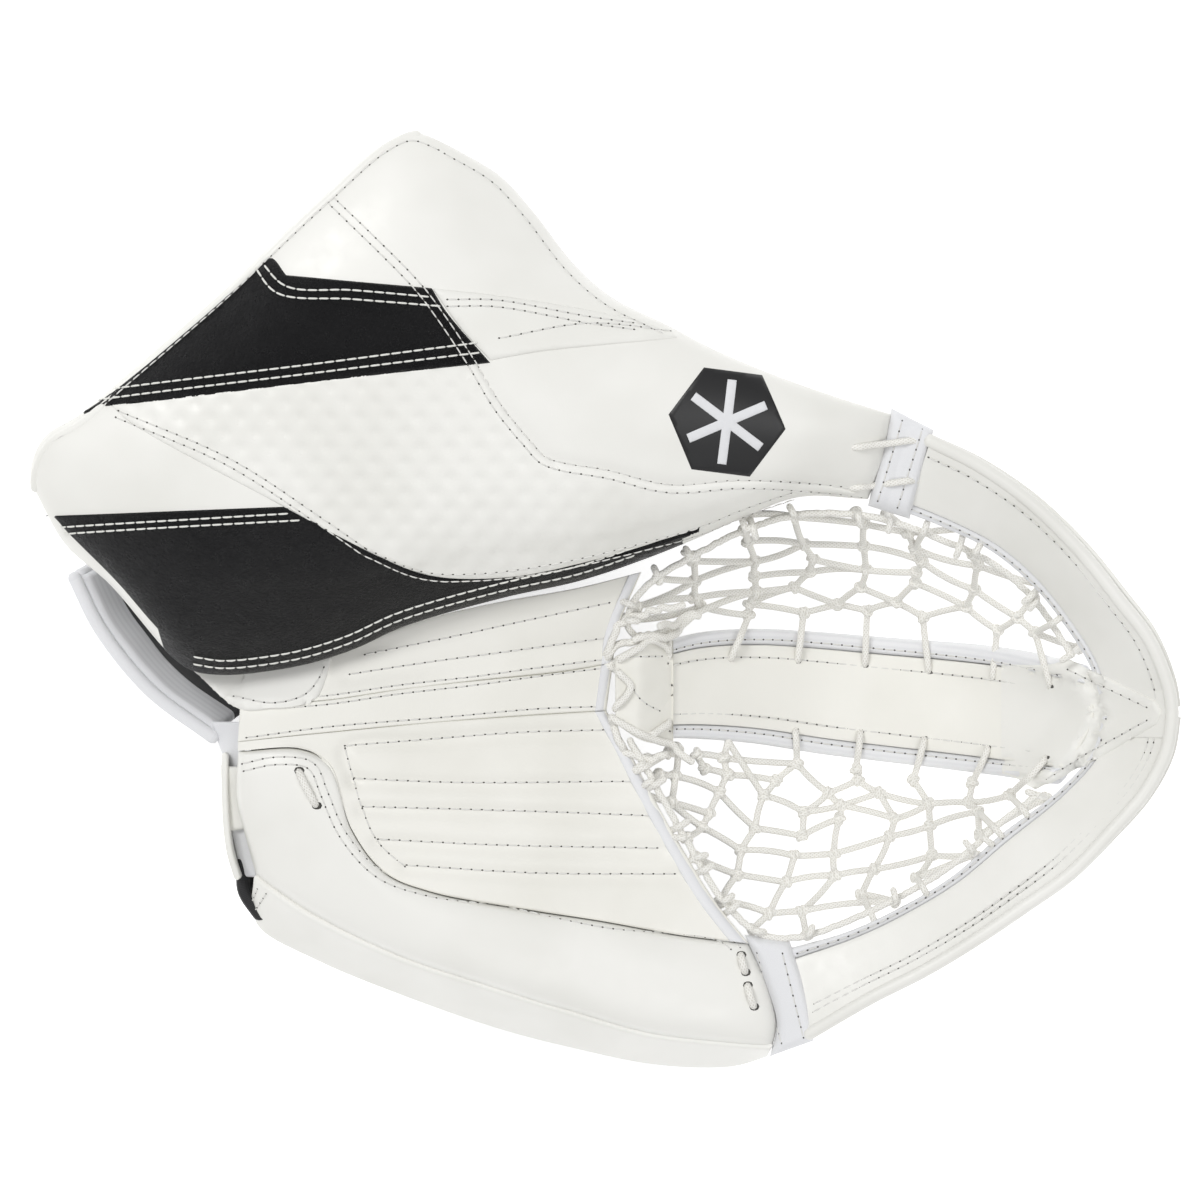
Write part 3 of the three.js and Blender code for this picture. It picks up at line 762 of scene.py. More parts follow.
# The slot of each material that doesn't give its own name to one
SLOTS = {"palm_leather": "white_leather", "white_webbing": "white_nylon", "lace_cord": "lace",
         "white_thread": "lace", "grey_thread": "lace", "needle_hole": "black_leather", "felt_lining": "felt",
         "hook_patch": "black_nylon", "emblem_ink": "black_leather"}


# ---------------------------------------------------------------- folds, seams and laces

THUMB_FOLD = ("spine", "thumb_side", put((6, -30, 0)), put((1.8, 7.6, 0)))
FINGER_FOLD = ("hand_side", "spine", put((18.2, -113, 0)), put((20, -75, 0)))


def sew(name, traces, body, dark=False):
    """Rows of stitches: bright thread on black leather, thin thread between needle marks on white, where the
    darker copy of the thread and the dark needle marks are painted shade.
    """
    thread = stitches(name + "_stitches", traces, THREAD_WHITE if dark else SHADED_THREAD,
                      length=STITCH_LENGTH * (1.12 if dark else 1), radius=THREAD * (1.1 if dark else 0.8))
    wear(thread, body)
    if not dark:
        wear(needle_holes(name + "_needle_holes", traces, HOLE_SHADE), body)


def sewn(name, ground, paths, body, dark=False):
    sew(name, [over(ground, path, 0.1) for path in paths], body, dark)


def eyelets(name, ground, places, body, size=1.0):
    """The holes that laces run into, coloured dark as painted shade inside them."""
    traces = [over(ground, [(x, y), (x + 1, y)], 0.15, gap=1) for x, y in places]
    wear(needle_holes(name, traces, HOLE_SHADE, pitch=0.8, size=(size, size * 0.9)), body)


def looped(ground, xy, heights, count):
    """A length of lace at a height over the ground at each point."""
    return curved(np.column_stack([xy, ground(xy)[0] + heights]), count)


# ---------------------------------------------------------------- thumb side

STRIPE_TOP = outline([(-153, 147), (-147, 152), (-140, 144)], [(-140, 144), (-110, 141), (-75, 138)],
                     [(-75, 138), (-68, 127), (-49, 105)], [(-49, 105), (-121, 97), (-200, 88), (-224, 86)],
                     [(-224, 86), (-234, 82), (-243, 77.5)],
                     [(-243, 77.5), (-234, 83), (-221, 91), (-184, 120.5), (-153, 147)])
PANEL_SEAM = [(-98, 18), (-76, 10), (-41, 9.5), (0, 18), (30, 27), (48, 33)]
STRIPE_LOW = outline([(-252, 37), (-218, 38), (-138, 41)], [(-138, 41), *PANEL_SEAM],
                     beside(CUFF_LOWER[13:5:-1], -2.5), [(-172, -32), (-181, -30.5), (-190, -24)],
                     [(-190, -24), (-201, -13), (-219, 8), (-239, 28), (-249, 38), (-252, 37)])
EMBOSSED = outline([(-220, 87), (-211, 79), (-142, 41)],
                   [(-142, 41), *PANEL_SEAM, (67, 40), (91, 47.5), (121, 47)],
                   [(121, 47), (104, 51), (64, 53), (31, 51), (5, 57), (-24, 63), (-30, 69), (-44, 86),
                    (-56, 106)],
                   [(-56, 106), (-121, 98), (-200, 89), (-220, 87)])
WEDGE = outline([(-75, 138), (-45, 135), (-5, 129), (18, 124), (36, 117)],
                [(36, 117), (20, 115), (0, 113), (-27, 110), (-49, 106)],
                [(-49, 106), (-62, 120), (-75, 138)])
FOLD_SEAM = [(-120, 180), (-80, 140), (-70, 127), (-56, 106), (-44, 86), (-30, 69), (-24, 63), (5, 57),
             (31, 51),
             (64, 53), (104, 51), (121, 49)]
EMBOSS_SEAM = [(-216, 84), (-165, 62), (-125, 36), (-105, 22), (-81, 12), (-55, 11), (-18, 16), (18, 24.5),
               (45, 32), (66, 40.5), (88, 48)]
OUTER_SEAM = beside(CUFF_OUTER[2:], -4.5)
CUFF_EDGE_SEAM = beside(CUFF_UPPER[:6], -5)
EMBLEM = (57, 79)
EMBLEM_TURN = -0.12


def polygon(centre, corners, count):
    """A closed loop with straight sides between corners, and count points to a side."""
    corners = np.asarray(centre) + corners
    share = np.linspace(0, 1, count, endpoint=False)[:, None]
    return np.vstack([a * (1 - share) + b * share for a, b in zip(corners, np.roll(corners, -1, axis=0))])


def hexagon(centre, radius, turn):
    angle = np.arange(6) * math.pi / 3 + turn
    return polygon(centre, radius * np.stack([np.cos(angle), np.sin(angle)], 1), 16)


def star(centre, reach, width, turn):
    """The outline of a six-armed star with plain arms."""
    corners = []
    for angle in np.arange(6) * math.pi / 3 + turn:
        along = np.array([math.cos(angle), math.sin(angle)])
        half = np.array([-along[1], along[0]]) * width / 2
        root, tip = along * width * 0.87, along * reach
        corners += [root - half, tip - half, tip + half, root + half]
    return polygon(centre, corners, 8)


def make_cuff():
    relief = total(ripples(38, 0.35, 1.0), grooves([FOLD_SEAM], 0.8, 2.6), grooves([CUFF_EDGE_SEAM], 0.5, 2))
    layer("cuff_pad", "thumb_side", CUFF, PAD, 2.6, WHITE_LEATHER, "cuff_thumb_pad", relief=relief,
          pad=THICK_FILL)

    def panel(name, loop, under, thickness, material, **shape):
        wear(patch(name, loop, Ground.of(*under), thickness, material, **shape), "thumb_side")

    laid = ["cuff_pad"]
    panel("cuff_stripe_low", STRIPE_LOW, laid, 0.9, BLACK_LEATHER, relief=ripples(26, 0.18, 2.0))
    layer("cuff_stripe_edge", "thumb_side", CUFF, PAD + 1.4, 2.4, BLACK_LEATHER, u=(0.2, 0.79),
          v=(-0.004, 0.05), lift=0.7, edge=(1, 1, 7.2, 0.5))
    laid.append("cuff_stripe_low")
    panel("cuff_embossed_panel", EMBOSSED, laid, 0.9, WHITE_LEATHER, step=1.5,
          relief=dimples(13.4, 0.75, (-60, 90)))
    laid.append("cuff_embossed_panel")
    panel("cuff_stripe_top", STRIPE_TOP, laid, 0.9, BLACK_LEATHER, relief=ripples(22, 0.2, 3.0))
    panel("cuff_wedge_panel", WEDGE, laid, 0.8, WHITE_LEATHER)
    laid = ["cuff_pad", "cuff_stripe_edge", *laid[1:], "cuff_stripe_top", "cuff_wedge_panel"]
    ink = {"lip": 0.2, "sink": 0.2, "step": 1.8}
    panel("emblem_badge", hexagon(EMBLEM, 26.5, EMBLEM_TURN), laid, 0.22, EMBLEM_INK, **ink)
    panel("emblem_star", star(EMBLEM, 19, 4.2, EMBLEM_TURN + math.pi / 6), ["cuff_pad", "emblem_badge"], 0.22,
          WHITE_NYLON, **ink)
    white_rows = [*double(FOLD_SEAM, 3.6), CUFF_EDGE_SEAM, *double(EMBOSS_SEAM[:4], 3.2),
                  *double(EMBOSS_SEAM[3:], 3.2), *double([(-68, 133), (-46, 133), (-5, 126), (18, 123)], 3),
                  [(-45, 116), (-5, 123), (32, 120)], OUTER_SEAM]
    black_rows = [[(-152, 151), (-140, 139), (-110, 137), (-75, 134)],
                  [(-155, 149), (-144, 136), (-110, 133), (-71, 130)],
                  [(-218, 94), (-130, 104), (-54, 114)], [(-226, 89), (-130, 100), (-50, 110)],
                  [(-244, 32), (-188, 35), (-137, 38)], [(-243, 29), (-188, 32), (-132, 35)],
                  beside(CUFF_LOWER[4:13], 6.6), beside(CUFF_LOWER[4:13], 3.2)]
    ground = Ground.of(*laid)
    sewn("cuff_white", ground, white_rows, "thumb_side")
    sewn("cuff_black", ground, black_rows, "thumb_side", dark=True)
    piping = CUFF(np.full(120, 0.012), np.linspace(0.06, 0.93, 120)) - UP * 2.6
    wear(cords("cuff_piping", [piping], 2.4, WHITE_LEATHER, sides=14), "thumb_side")


def make_thumb():
    layer("thumb_tip_cover", "thumb_side", THUMB_TIP, 19, 1.6, WHITE_NYLON, "thumb_tip_binding", lift=2.2,
          edge=(3.5, 3.5, 7, 7), relief=grooves([[(130, 41), (141, 84)]], 0.9, 1.4))
    sewn("thumb_tip", Ground.of("thumb_tip_cover"), [[(126, 44), (137, 82)], [(135, 41), (146, 78)]],
         "thumb_side")
    both = Ground.of("thumb_tip_cover", "cuff_pad")
    run = np.array([(113, -2), (117, -2), (124, -1), (132, 0), (139, 1), (144, 1)])
    loops = [looped(both, run + [0, y], [-2, 1.2, 1.6, 1.6, 1.2, -2.5], 24) for y in (52, 70)]
    wear(cords("thumb_tip_laces", loops, LACE, LACE_CORD), "thumb_side")
    for name, thickness, u in (("cuff", 4, (0.05, 0.5)), ("thumb", 3, (0.55, 0.95))):
        layer(f"{name}_inner_lining", "thumb_side", CUFF, thickness, 6, LINING, f"{name}_lining", lift=-15.8,
              u=u, v=(0.1, 0.9), pad=FELT_FILL)
    wear(sleeve("thumb_sleeve", (-12, 71, 86), (54, 67, 92), 16, 13, 2, LINING), "thumb_side", "thumb_stall")
    layer("thumb_back_cover", "thumb_side", THUMB_BACK, 6, 3, BLACK_NYLON, "thumb_back_pad", lift=6,
          under=grooves([[(0, 20), (-10, 130)], [(60, 40), (50, 95)]], 1.2, 2.5), pad=SOFT_FILL)


# ---------------------------------------------------------------- palm

PLEATS = [[(-113, -84), (-117, -69), (-78, -66), (-37, -63), (5, -62)], [(-113, -84), (-69, -86), (20, -86)],
          [(-109, -97), (-46, -99), (26, -102)], [(-102, -112), (-46, -115), (29, -117)],
          [(-89, -124), (-28, -128), (39, -129)]]
PLEAT_SIDE = [(-117, -69), (-113, -84), (-109, -97), (-102, -112), (-89, -124)]
TAB_EDGE = outline([(-188, -32), (-165, -51), (-151, -51), (-139, -50), (-130, -46), (-126, -38),
                    (-123, -27)],
                   [(-123, -27), (-150, -30), (-188, -32)])


def make_palm():
    parts = {"thumb": (coons(CREASE_THUMB, moved(UNDER_THUMB, -1, 9, -9), None, THUMB_POCKET_EDGE),
                       THUMB_FOLD,
                       [[(-115, -37), (-83, -32), (-46, -27), (5, -20)],
                        [(-110, -24), (-69, -16), (-37, -9), (5, 0)]]),
             "center": (coons(CREASE_FINGER, CREASE_THUMB), "spine", []),
             "finger": (coons(PALM_LOW, CREASE_FINGER, None, FINGER_POCKET_EDGE), FINGER_FOLD, PLEATS)}
    for side, (surface, body, seams) in parts.items():
        deep, low_edge = (2.0, 1.6) if side == "finger" else (1.1, 0.7)
        puff = total(ripples(30, 0.7, 4.0), grooves(seams, deep, 3.6))
        layer(f"palm_{side}_skin", body, surface, 3, 2.0, PALM_LEATHER, f"palm_{side}_leather",
              edge=(1.5, 1.5, low_edge, 0.7), relief=puff, pad=FELT_FILL)
        layer(f"palm_{side}_foam", body, surface, 6, 6, LINING, f"palm_{side}_felt", lift=-3.2, edge=2,
              u=(0, 0.96), pad=FELT_FILL)
        layer(f"palm_{side}_border", body, surface, 9.6, 1.5, WHITE_NYLON, f"palm_{side}_edge_binding",
              lift=0.6, edge=(1, 3, 0.4, 0.4), u=(0.965, 1.0))
    ground = Ground.of("palm_thumb_skin", "palm_center_skin", "palm_finger_skin")
    rows = {"thumb": [[(-160, -47), (-127, -45), (-92, -40), (-57, -36), (-28, -32), (4, -28)],
                      [(-115, -35), (-83, -30), (-46, -25), (5, -18)],
                      [(-108, -26), (-69, -18), (-37, -11), (5, -2)]],
            "center": [[(-162, -64), (-124, -59), (-74, -55), (-28, -51), (3, -50)],
                       [(-160, -51), (-127, -49), (-92, -44), (-57, -40), (-28, -36), (4, -32)]],
            "finger": [beside(PLEATS[0][1:], 1.2), *[beside(p, 1.3) for p in PLEATS[1:]], PLEAT_SIDE]}
    for side, paths in rows.items():
        sewn(f"palm_{side}", ground, paths, parts[side][1])
    wear(patch("heel_tab", TAB_EDGE, ground, 1.6, WHITE_LEATHER), "spine")
    sewn("heel_tab", Ground.of("heel_tab"),
         [[(-168, -45), (-149, -48), (-135, -44), (-129, -37), (-126, -30)]],
         "spine")


def make_heel():
    """The nylon, leather and black padding that show between the cuff, the wrist and the roll."""
    layer("wrist_band", "hand_side", WRIST, 6.6, 2.5, WHITE_NYLON, v=(0, 0.08), lift=5.9, edge=3,
          relief=ripples(16, 0.35, 9.0))
    strips = (("heel_upper_strip", WHITE_NYLON, 4, [(-180, -57, 68), (-172, -80, 68)],
               [(-164, -57, 80), (-163, -80, 80)]),
              ("heel_fold", WHITE_LEATHER, 4.5, [(-175, -77, 76), (-173, -108, 72)],
               [(-163, -78, 82), (-162, -106, 80)]),
              ("heel_lower_strip", WHITE_NYLON, 4, [(-171, -104, 70), (-166, -129, 64)],
               [(-161, -104, 76), (-158, -129, 70)]))
    for name, material, thickness, low, up in strips:
        layer(name, "hand_side", coons(low, up), thickness, 1.8, material, lift=1.5, edge=thickness * 0.45,
              relief=ripples(11, 0.3, 3.0))
    corner = leaning(coons([(-164, -118, 24), (-164, -134, 24), (-157, -146, 28)],
                           [(-166, -119, 69), (-166, -135, 66), (-157, -149.5, 63)]))
    layer("heel_corner", "hand_side", corner, 6, 1.8, BLACK_NYLON, lift=2.0, edge=2.7,
          relief=ripples(11, 0.3, 3.0))


# ---------------------------------------------------------------- finger side

ROLL_SEAM = [(-162, -75), (-148, -72), (-132, -73), (-127, -77), (-123, -87), (-114, -107), (-100, -123),
             (-78, -131), (-45, -136), (3, -146), (56, -153), (66, -160)]
ROLL_CREASE = [(-163, -124), (-138, -146), (-92, -167), (-37, -181)]


def make_roll():
    top = crowned(coons(moved(ROLL_FOLD, 0, 3), moved(PALM_LOW, 0, -0.3),
                        [(-158, -129, 80), (-163, -110, 84), (-167, -92, 87), (-166, -70.3, 90)],
                        [(80, -209, 58), (82, -198, 60), (77, -177, 62), (69, -160.3, 63)]), 4)
    relief = total(ripples(34, 0.6, 5.0), grooves([ROLL_SEAM], 0.7, 2.2), grooves([ROLL_CREASE], 0.8, 2.5))
    layer("finger_roll", "hand_side", top, ROLL_PAD, 2.4, WHITE_LEATHER, "finger_roll_pad", lift=1.8,
          edge=(5, 5, 6, 2.2), relief=relief, pad=THICK_FILL)
    seam = [(x, y - 2.5) if x > -110 else (x - 2, y - 1) for x, y in ROLL_SEAM]
    sewn("finger_roll", Ground.of("finger_roll"), double(seam), "hand_side")
    layer("finger_side_cover", "hand_side", SIDE_WALL, 4, 3, WHITE_LEATHER, "finger_side_wall")
    sew("finger_side", [on(SIDE_WALL, u, (0.1, 0.9), 0.1, count=30) for u in (0.015, 0.035)], "hand_side")
    layer("finger_tip_cover", "hand_side", FINGER_TIP, 17, 1.6, WHITE_NYLON, "finger_tip_binding", lift=3.0,
          edge=(4, 4, 5, 5))
    sewn("finger_tip", Ground.of("finger_tip_cover"), [[(94, -203), (84, -163)], [(84, -206), (72, -162)]],
         "hand_side")
    both = Ground.of("finger_roll", "finger_tip_cover")
    ends = np.array([((65, -165), (67, -173)), ((68, -179), (71, -189)), ((-138, -79), (-130, -95))], float)
    loops = [looped(both, a + np.linspace(-0.05, 1.05, 7)[:, None] * (b - a),
                    [-2.5, 1.0, 2.1, 2.4, 2.1, 1.0, -2.5], 22) for a, b in ends]
    wear(cords("finger_roll_laces", loops, LACE * 1.15, LACE_CORD), "hand_side")
    eyelets("finger_roll_eyelets", both, ends.reshape(-1, 2), "hand_side", 2.0)
    layer("heel_cover", "hand_side", HEEL, 3, 3, WHITE_LEATHER, "heel_band")


# ---------------------------------------------------------------- T band and rim

TOP_FLARE = outline([(188, -31), (206, -31), (218, -29)], [(218, -29), (234, -37), (254, -47)],
                    [(254, -47), (256.5, -52.5), (254, -58)], [(254, -58), (226, -76), (203, -89)],
                    [(203, -89), (196, -85), (188, -82)], [(188, -82), (188, -56), (188, -31)])
TEE_PIECES = ("tee_face", "tee_lower_ribbon", "tee_upper_ribbon")
RIM_JOINT = (261.1, -52.4, 102)  # where the two halves of the rim's welt meet


def make_tee():
    inner = (BINDING, 1 - BINDING)
    layer("tee_face", "spine", TEE, 2.2, 2.0, PALM_LEATHER, "t_face", v=inner, edge=(1, 1, 0.8, 0.8),
          lift=0.2, relief=total(ripples(24, 0.4, 6.0), grooves([[(196, -78), (222, -38)]], 0.7, 1.8)))
    layer("tee_back", "spine", TEE, 2.4, 3, WHITE_LEATHER, "t_back", v=inner, lift=-5.2, edge=1)
    layer("tee_back_cushion", "spine", TEE, 4.6, 3, WHITE_LEATHER, "t_back_pad", u=(0.4, 0.62),
          v=(0.17, 0.83), lift=-8, pad=SOFT_FILL)
    for side, v, row in (("lower", (0, BINDING), 0.1), ("upper", (1 - BINDING, 1), 0.9)):
        layer(f"tee_{side}_ribbon", "spine", TEE, 8.8, 1.2, WHITE_NYLON, f"t_{side}_binding", v=v, lift=0.8,
              edge=(1, 1, 2.6, 2.6))
        sew(f"tee_{side}_ribbon", [on(TEE, (0.02, 0.99), row, 0.95)], "spine")
    sew("tee_face", [on(TEE, (0.03, 0.98), v, 0.3) for v in (0.25, 0.75)], "spine")


def make_rims():
    for side, surface, body, run in (("thumb", RIM_THUMB, THUMB_FOLD, [*RIM_OUT_THUMB, RIM_JOINT]),
                                     ("finger", RIM_FINGER, FINGER_FOLD, [RIM_JOINT, *RIM_OUT_FINGER])):
        layers = (("band", 2.8, 2.2, WHITE_LEATHER, "face",
                   {"v": (BINDING, 1), "lift": 0.3, "edge": (0.4, 0.4, 0.8, 1.4),
                    "relief": ripples(36, 0.5, 8.0)}),
                  ("stiffener", 2.0, 5, BOARD, "core", {"u": (0.01, 0.99), "v": (0.19, 0.9), "lift": -2.8,
                                                        "edge": 0.5}),
                  ("backing", 2.4, 3, WHITE_LEATHER, "back",
                   {"v": (BINDING, 1), "lift": -5.0, "edge": (0.4, 0.4, 1, 1.2)}),
                  ("ribbon", 8.6, 1.2, WHITE_NYLON, "binding",
                   {"v": (0, BINDING), "lift": 0.8, "edge": (1, 1, 2.6, 2.6)}))
        for name, thickness, step, material, node, shape in layers:
            layer(f"rim_{side}_{name}", body, surface, thickness, step, material, f"rim_{side}_{node}",
                  **shape)
        bead = curved(moved(run, 0, 0, -1.6), 160)
        wear(cords(f"rim_{side}_bead", [bead], 3.1, WHITE_LEATHER, sides=16), body, f"rim_{side}_welt")
        rows = ((0.1, 0.95), (0.8, 0.35), (0.72, 0.35))[:3 if side == "finger" else 2]
        sew(f"rim_{side}", [on(surface, (0.01, 0.99), v, lift) for v, lift in rows], body)


def make_top():
    """The flare of the T where it is sewn over the middle of the rim."""
    saddle = leaning(coons([(229.5, -42, 75), (231, -52.5, 74), (228, -64, 73.5)],
                           [(259.5, -42, 103), (261, -52.5, 102), (259.5, -64, 101.5)]))
    layer("tee_top_saddle", "spine", saddle, 1.8, 1.8, WHITE_LEATHER, v=(0.1, 0.97), lift=0.7, edge=0.8)
    ground = Ground.of(*TEE_PIECES, "rim_thumb_band", "rim_finger_band", "rim_thumb_ribbon",
                       "rim_finger_ribbon",
                       "tee_top_saddle")
    wear(patch("tee_top", TOP_FLARE, ground, 1.3, WHITE_LEATHER,
               relief=lambda xy: -1.2 * np.clip((210 - xy[:, 0]) / 20, 0, 1)), "spine")
    sewn("tee_top", Ground.of("tee_top"), [[(216, -33), (232, -41), (250, -50)],
                                           [(250, -56), (226, -71), (205, -85)]],
         "spine")


# ---------------------------------------------------------------- nets

EDGE_REACH = 15  # how far from the pocket's edge a knot is still tied to it
HOLE_SETBACK = 4.5
CUFF_STEP = 9  # a rise this high above the net's edge is the cuff, and its laces go in underneath
UPPER_KNOTS = [(68, 38), (89, 37), (117, 39), (121, 34), (141, 30), (167, 32), (66, 31), (68, 26), (94, 25),
    (122, 24), (145, 23), (171, 20), (43, 19), (43, 17), (72, 17), (99, 18), (124, 13), (149, 17), (174, 15),
    (203, 6), (27, 9), (44, 8), (72, 10), (98, 12), (147, 12), (174, 4), (17, -4), (44, 0), (73, 3), (91, 5),
    (122, 5), (147, 7), (171, -4), (194, -9), (201, 0), (12, -10), (47, -4), (70, -3), (91, -1), (112, -3),
    (139, -2), (202, -16), (222, -23), (32, -14), (70, -8), (96, -7), (126, -6), (152, -9), (186, -15),
    (32, -28), (61, -29), (93, -30), (125, -32), (155, -35), (184, -38), (209, -41), (133, 39), (18, -19)]
LOWER_KNOTS = [(22, -75), (32, -72), (36, -70), (27, -82), (35, -83), (45, -73), (49, -80), (58, -75),
    (60, -67), (60, -83), (56, -91), (53, -84), (33, -95), (19, -90), (48, -107), (51, -101), (27, -111),
    (40, -111), (44, -120), (73, -100), (77, -93), (83, -86), (92, -62), (93, -78), (96, -101), (96, -104),
    (73, -108), (66, -118), (64, -129), (40, -130), (108, -92), (114, -98), (123, -63), (121, -81),
    (122, -86), (113, -104), (95, -112), (91, -121), (87, -133), (55, -149), (56, -141), (79, -147),
    (71, -154), (94, -146), (96, -157), (110, -120), (110, -130), (132, -92), (139, -104), (136, -112),
    (128, -127), (153, -66), (148, -86), (155, -97), (155, -107), (155, -120), (147, -130), (137, -141),
    (182, -70), (175, -87), (173, -96), (177, -100), (176, -110), (174, -119), (207, -74), (191, -92),
    (208, -93), (122, -138)]
UPPER_LINKS = """0-1 1-3 2-3 3-4 4-5 56-4 6-7 7-14 1-8 7-8 8-9 3-9 9-16 9-17 4-10 10-17 10-18 11-18 18-19
17-25 18-25 12-13 13-14 13-21 21-27 20-21 21-14 26-21 14-8 8-15 15-16 14-22 22-28 22-23 15-23 23-29 23-16
16-24 16-30 17-24 24-31 27-28 28-29 29-39 30-39 30-40 31-40 31-32 25-32 25-33 32-47 32-48 33-48 33-41
33-34 41-42 39-45 39-46 40-46 40-47 37-45 37-29 43-28 26-27 35-36 36-44 57-43 28-37 37-44 27-36"""
LOWER_LINKS = """1-0 1-2 2-4 3-4 4-12 4-10 5-6 5-7 6-9 7-9 8-20 7-23 9-10 9-21 21-23 10-15 10-26 12-15
12-14 15-14 14-27 13-12 17-14 17-18 18-28 27-28 27-26 26-20 20-21 20-24 26-36 27-37 28-38 24-36 24-31
24-30 23-30 30-34 30-31 31-47 31-48 35-36 31-35 35-45 34-47 33-34 59-60 47-53 47-48 48-53 48-49 49-45
49-54 49-50 45-37 45-46 46-38 46-50 37-38 38-41 46-43 50-55 50-67 52-53 53-54 53-60 54-61 54-55 55-56
55-63 60-61 60-65 61-62 40-41 28-40 41-42 41-43 43-44 43-57 67-57 66-62 63-56"""
UPPER_TIES = "43-49 44-50 45-51 46-52 47-53 48-54 41-55"
LOWER_TIES = "7-8 23-22 33-32 52-51 59-58 65-64"
ROOT_LACES = [[(7.7, -11.5), (5, -19), (2.6, -26.8)], [(7.7, -12), (20, -7), (37, -3)],
              [(4, -30.5), (15.7, -24), (25, -19.8), (32.3, -25.8)],
              [(16.5, -19), (32.3, -16.6), (45.5, -7.4)],
              [(5.3, -55), (20.3, -63.6), (32.3, -68.8), (41.6, -75.3)], [(21.7, -64.2), (32.8, -56.8)],
              [(5.3, -55.7), (7, -63), (11, -70.6)], [(11, -71.5), (23.6, -75.3), (31, -71.6)],
              [(27.7, -13.4), (45.5, -7.4)], [(4, -31), (10, -36), (14, -41), (6, -51)],
              [(3, -28), (6, -22), (16, -19)]]
ROOT_FLOOR = 56  # the laces at the root of the T stay above this height


def pairs(text):
    return [tuple(int(k) for k in link.split("-")) for link in text.split()]


def bare_ground(surface):
    """The ground of a surface that no piece covers."""
    u, v = np.meshgrid(np.linspace(0, 1, 90), np.linspace(0, 1, 40), indexing="ij")
    return Ground(put(surface(u.ravel(), v.ravel())), grid_faces(89, 39))


def strand(a, b, bow, sink):
    """A lace from a to b that hangs a little and bows to one side."""
    share = np.linspace(0, 1, 9)[:, None]
    side = np.cross(UP, b - a) / max(np.linalg.norm(b - a), 1e-6)
    return a * (1 - share) + b * share + 4 * share * (1 - share) * (side * bow - UP * sink)


def knot(centre, along, size, turns, phase):
    """A lace wound round another one."""
    along = unit(along)
    side = unit(np.cross(UP, along))
    out = np.cross(along, side)
    share = np.linspace(0, 1, 22)[:, None]
    angle = share * turns * 2 * math.pi + phase
    radius = size * (0.75 + 0.35 * np.sin(share * math.pi))
    turn = np.cos(angle) * side + 0.8 * np.sin(angle) * out
    return centre + (share - 0.5) * along * size * 1.9 + radius * turn


def edge_ties(at, ways, border, ground):
    """Laces from the outer knots to the pocket's edge: over its ribbon into a hole, or in under the cuff."""
    line = curved(border, 300)
    paths = []
    for k, start in enumerate(at):
        gaps = np.linalg.norm(line[:, :2] - start[:2], axis=1)
        near = line[gaps.argmin()]
        if len(ways.get(k, [])) > 3 or gaps.min() > EDGE_REACH:
            continue
        away = (near - start)[:2]
        away = away / max(np.linalg.norm(away), 1e-6)
        hole = near[:2] + away * HOLE_SETBACK
        height = ground(hole[None])[0][0]
        if height - near[2] > CUFF_STEP:
            ends = [near + np.array([*away * 2, 1.0]), near + np.array([*away * HOLE_SETBACK, 0.0])]
        else:
            ends = [np.array([*(near[:2] + away), max(near[2], height) + 2.2]),
                    np.array([*hole, height + 0.3])]
        paths.append(curved([start, start * 0.5 + ends[0] * 0.5, *ends], 16))
        ways.setdefault(k, []).append(ends[0] - start)
    return paths


def make_net(side, knots, links, ties, surface, body, border):
    """One laced net. Ties run from a knot over a ribbon of the T into a hole in its leather."""
    tee = Ground.of(*TEE_PIECES, "tee_top")
    edges = Ground.of("palm_thumb_skin", "palm_finger_skin", "palm_thumb_border", "palm_center_border",
                      "palm_finger_border", "rim_thumb_band", "rim_thumb_ribbon", "rim_finger_band",
                      "rim_finger_ribbon", "cuff_pad")
    at = np.column_stack([knots, bare_ground(surface)(np.array(knots, float))[0]])
    at[:, 2] += RNG.uniform(-0.8, 0.8, len(at))
    ways = {}  # the directions in which laces leave each knot
    paths = []
    for a, b in pairs(links):
        reach = np.linalg.norm(at[b] - at[a])
        bow, sink = RNG.uniform(-0.05, 0.05) * reach, RNG.uniform(0.0, 0.04) * reach
        paths.append(strand(at[a], at[b], bow, sink))
        ways.setdefault(a, []).append(at[b] - at[a])
        ways.setdefault(b, []).append(at[a] - at[b])
    for a, b in pairs(ties):
        height = tee(np.array([knots[b]], float))[0][0]
        start, end = at[a], np.array([*knots[b], height])
        flat = end - start
        rise, over_edge, near = start + flat * 0.25, start + flat * 0.55, start + flat * 0.9
        rise[2] += flat[2] * 0.2
        over_edge[2] = height + 2.2
        near[2] = height + 1.6
        paths.append(curved([start, rise, over_edge, near, end - UP * 1.5], 20))
        ways.setdefault(a, []).append(flat)
    eyelets(f"net_{side}_laces_eyelets", tee, [knots[b] for _, b in pairs(ties)], "spine")
    paths += edge_ties(at, ways, border, edges)
    rope = curved(border, 160)
    paths.append(rope + RNG.uniform(-0.25, 0.25, rope.shape))
    for k, leads in ways.items():
        if len(leads) > 1:
            along = leads[0] if len(leads) < 3 else leads[1]
            paths.append(knot(at[k], along, LACE * 1.05, 1.3, RNG.uniform(0, 6)))
    wear(cords(f"net_{side}_laces", paths, LACE, LACE_CORD), body, f"net_{side}")


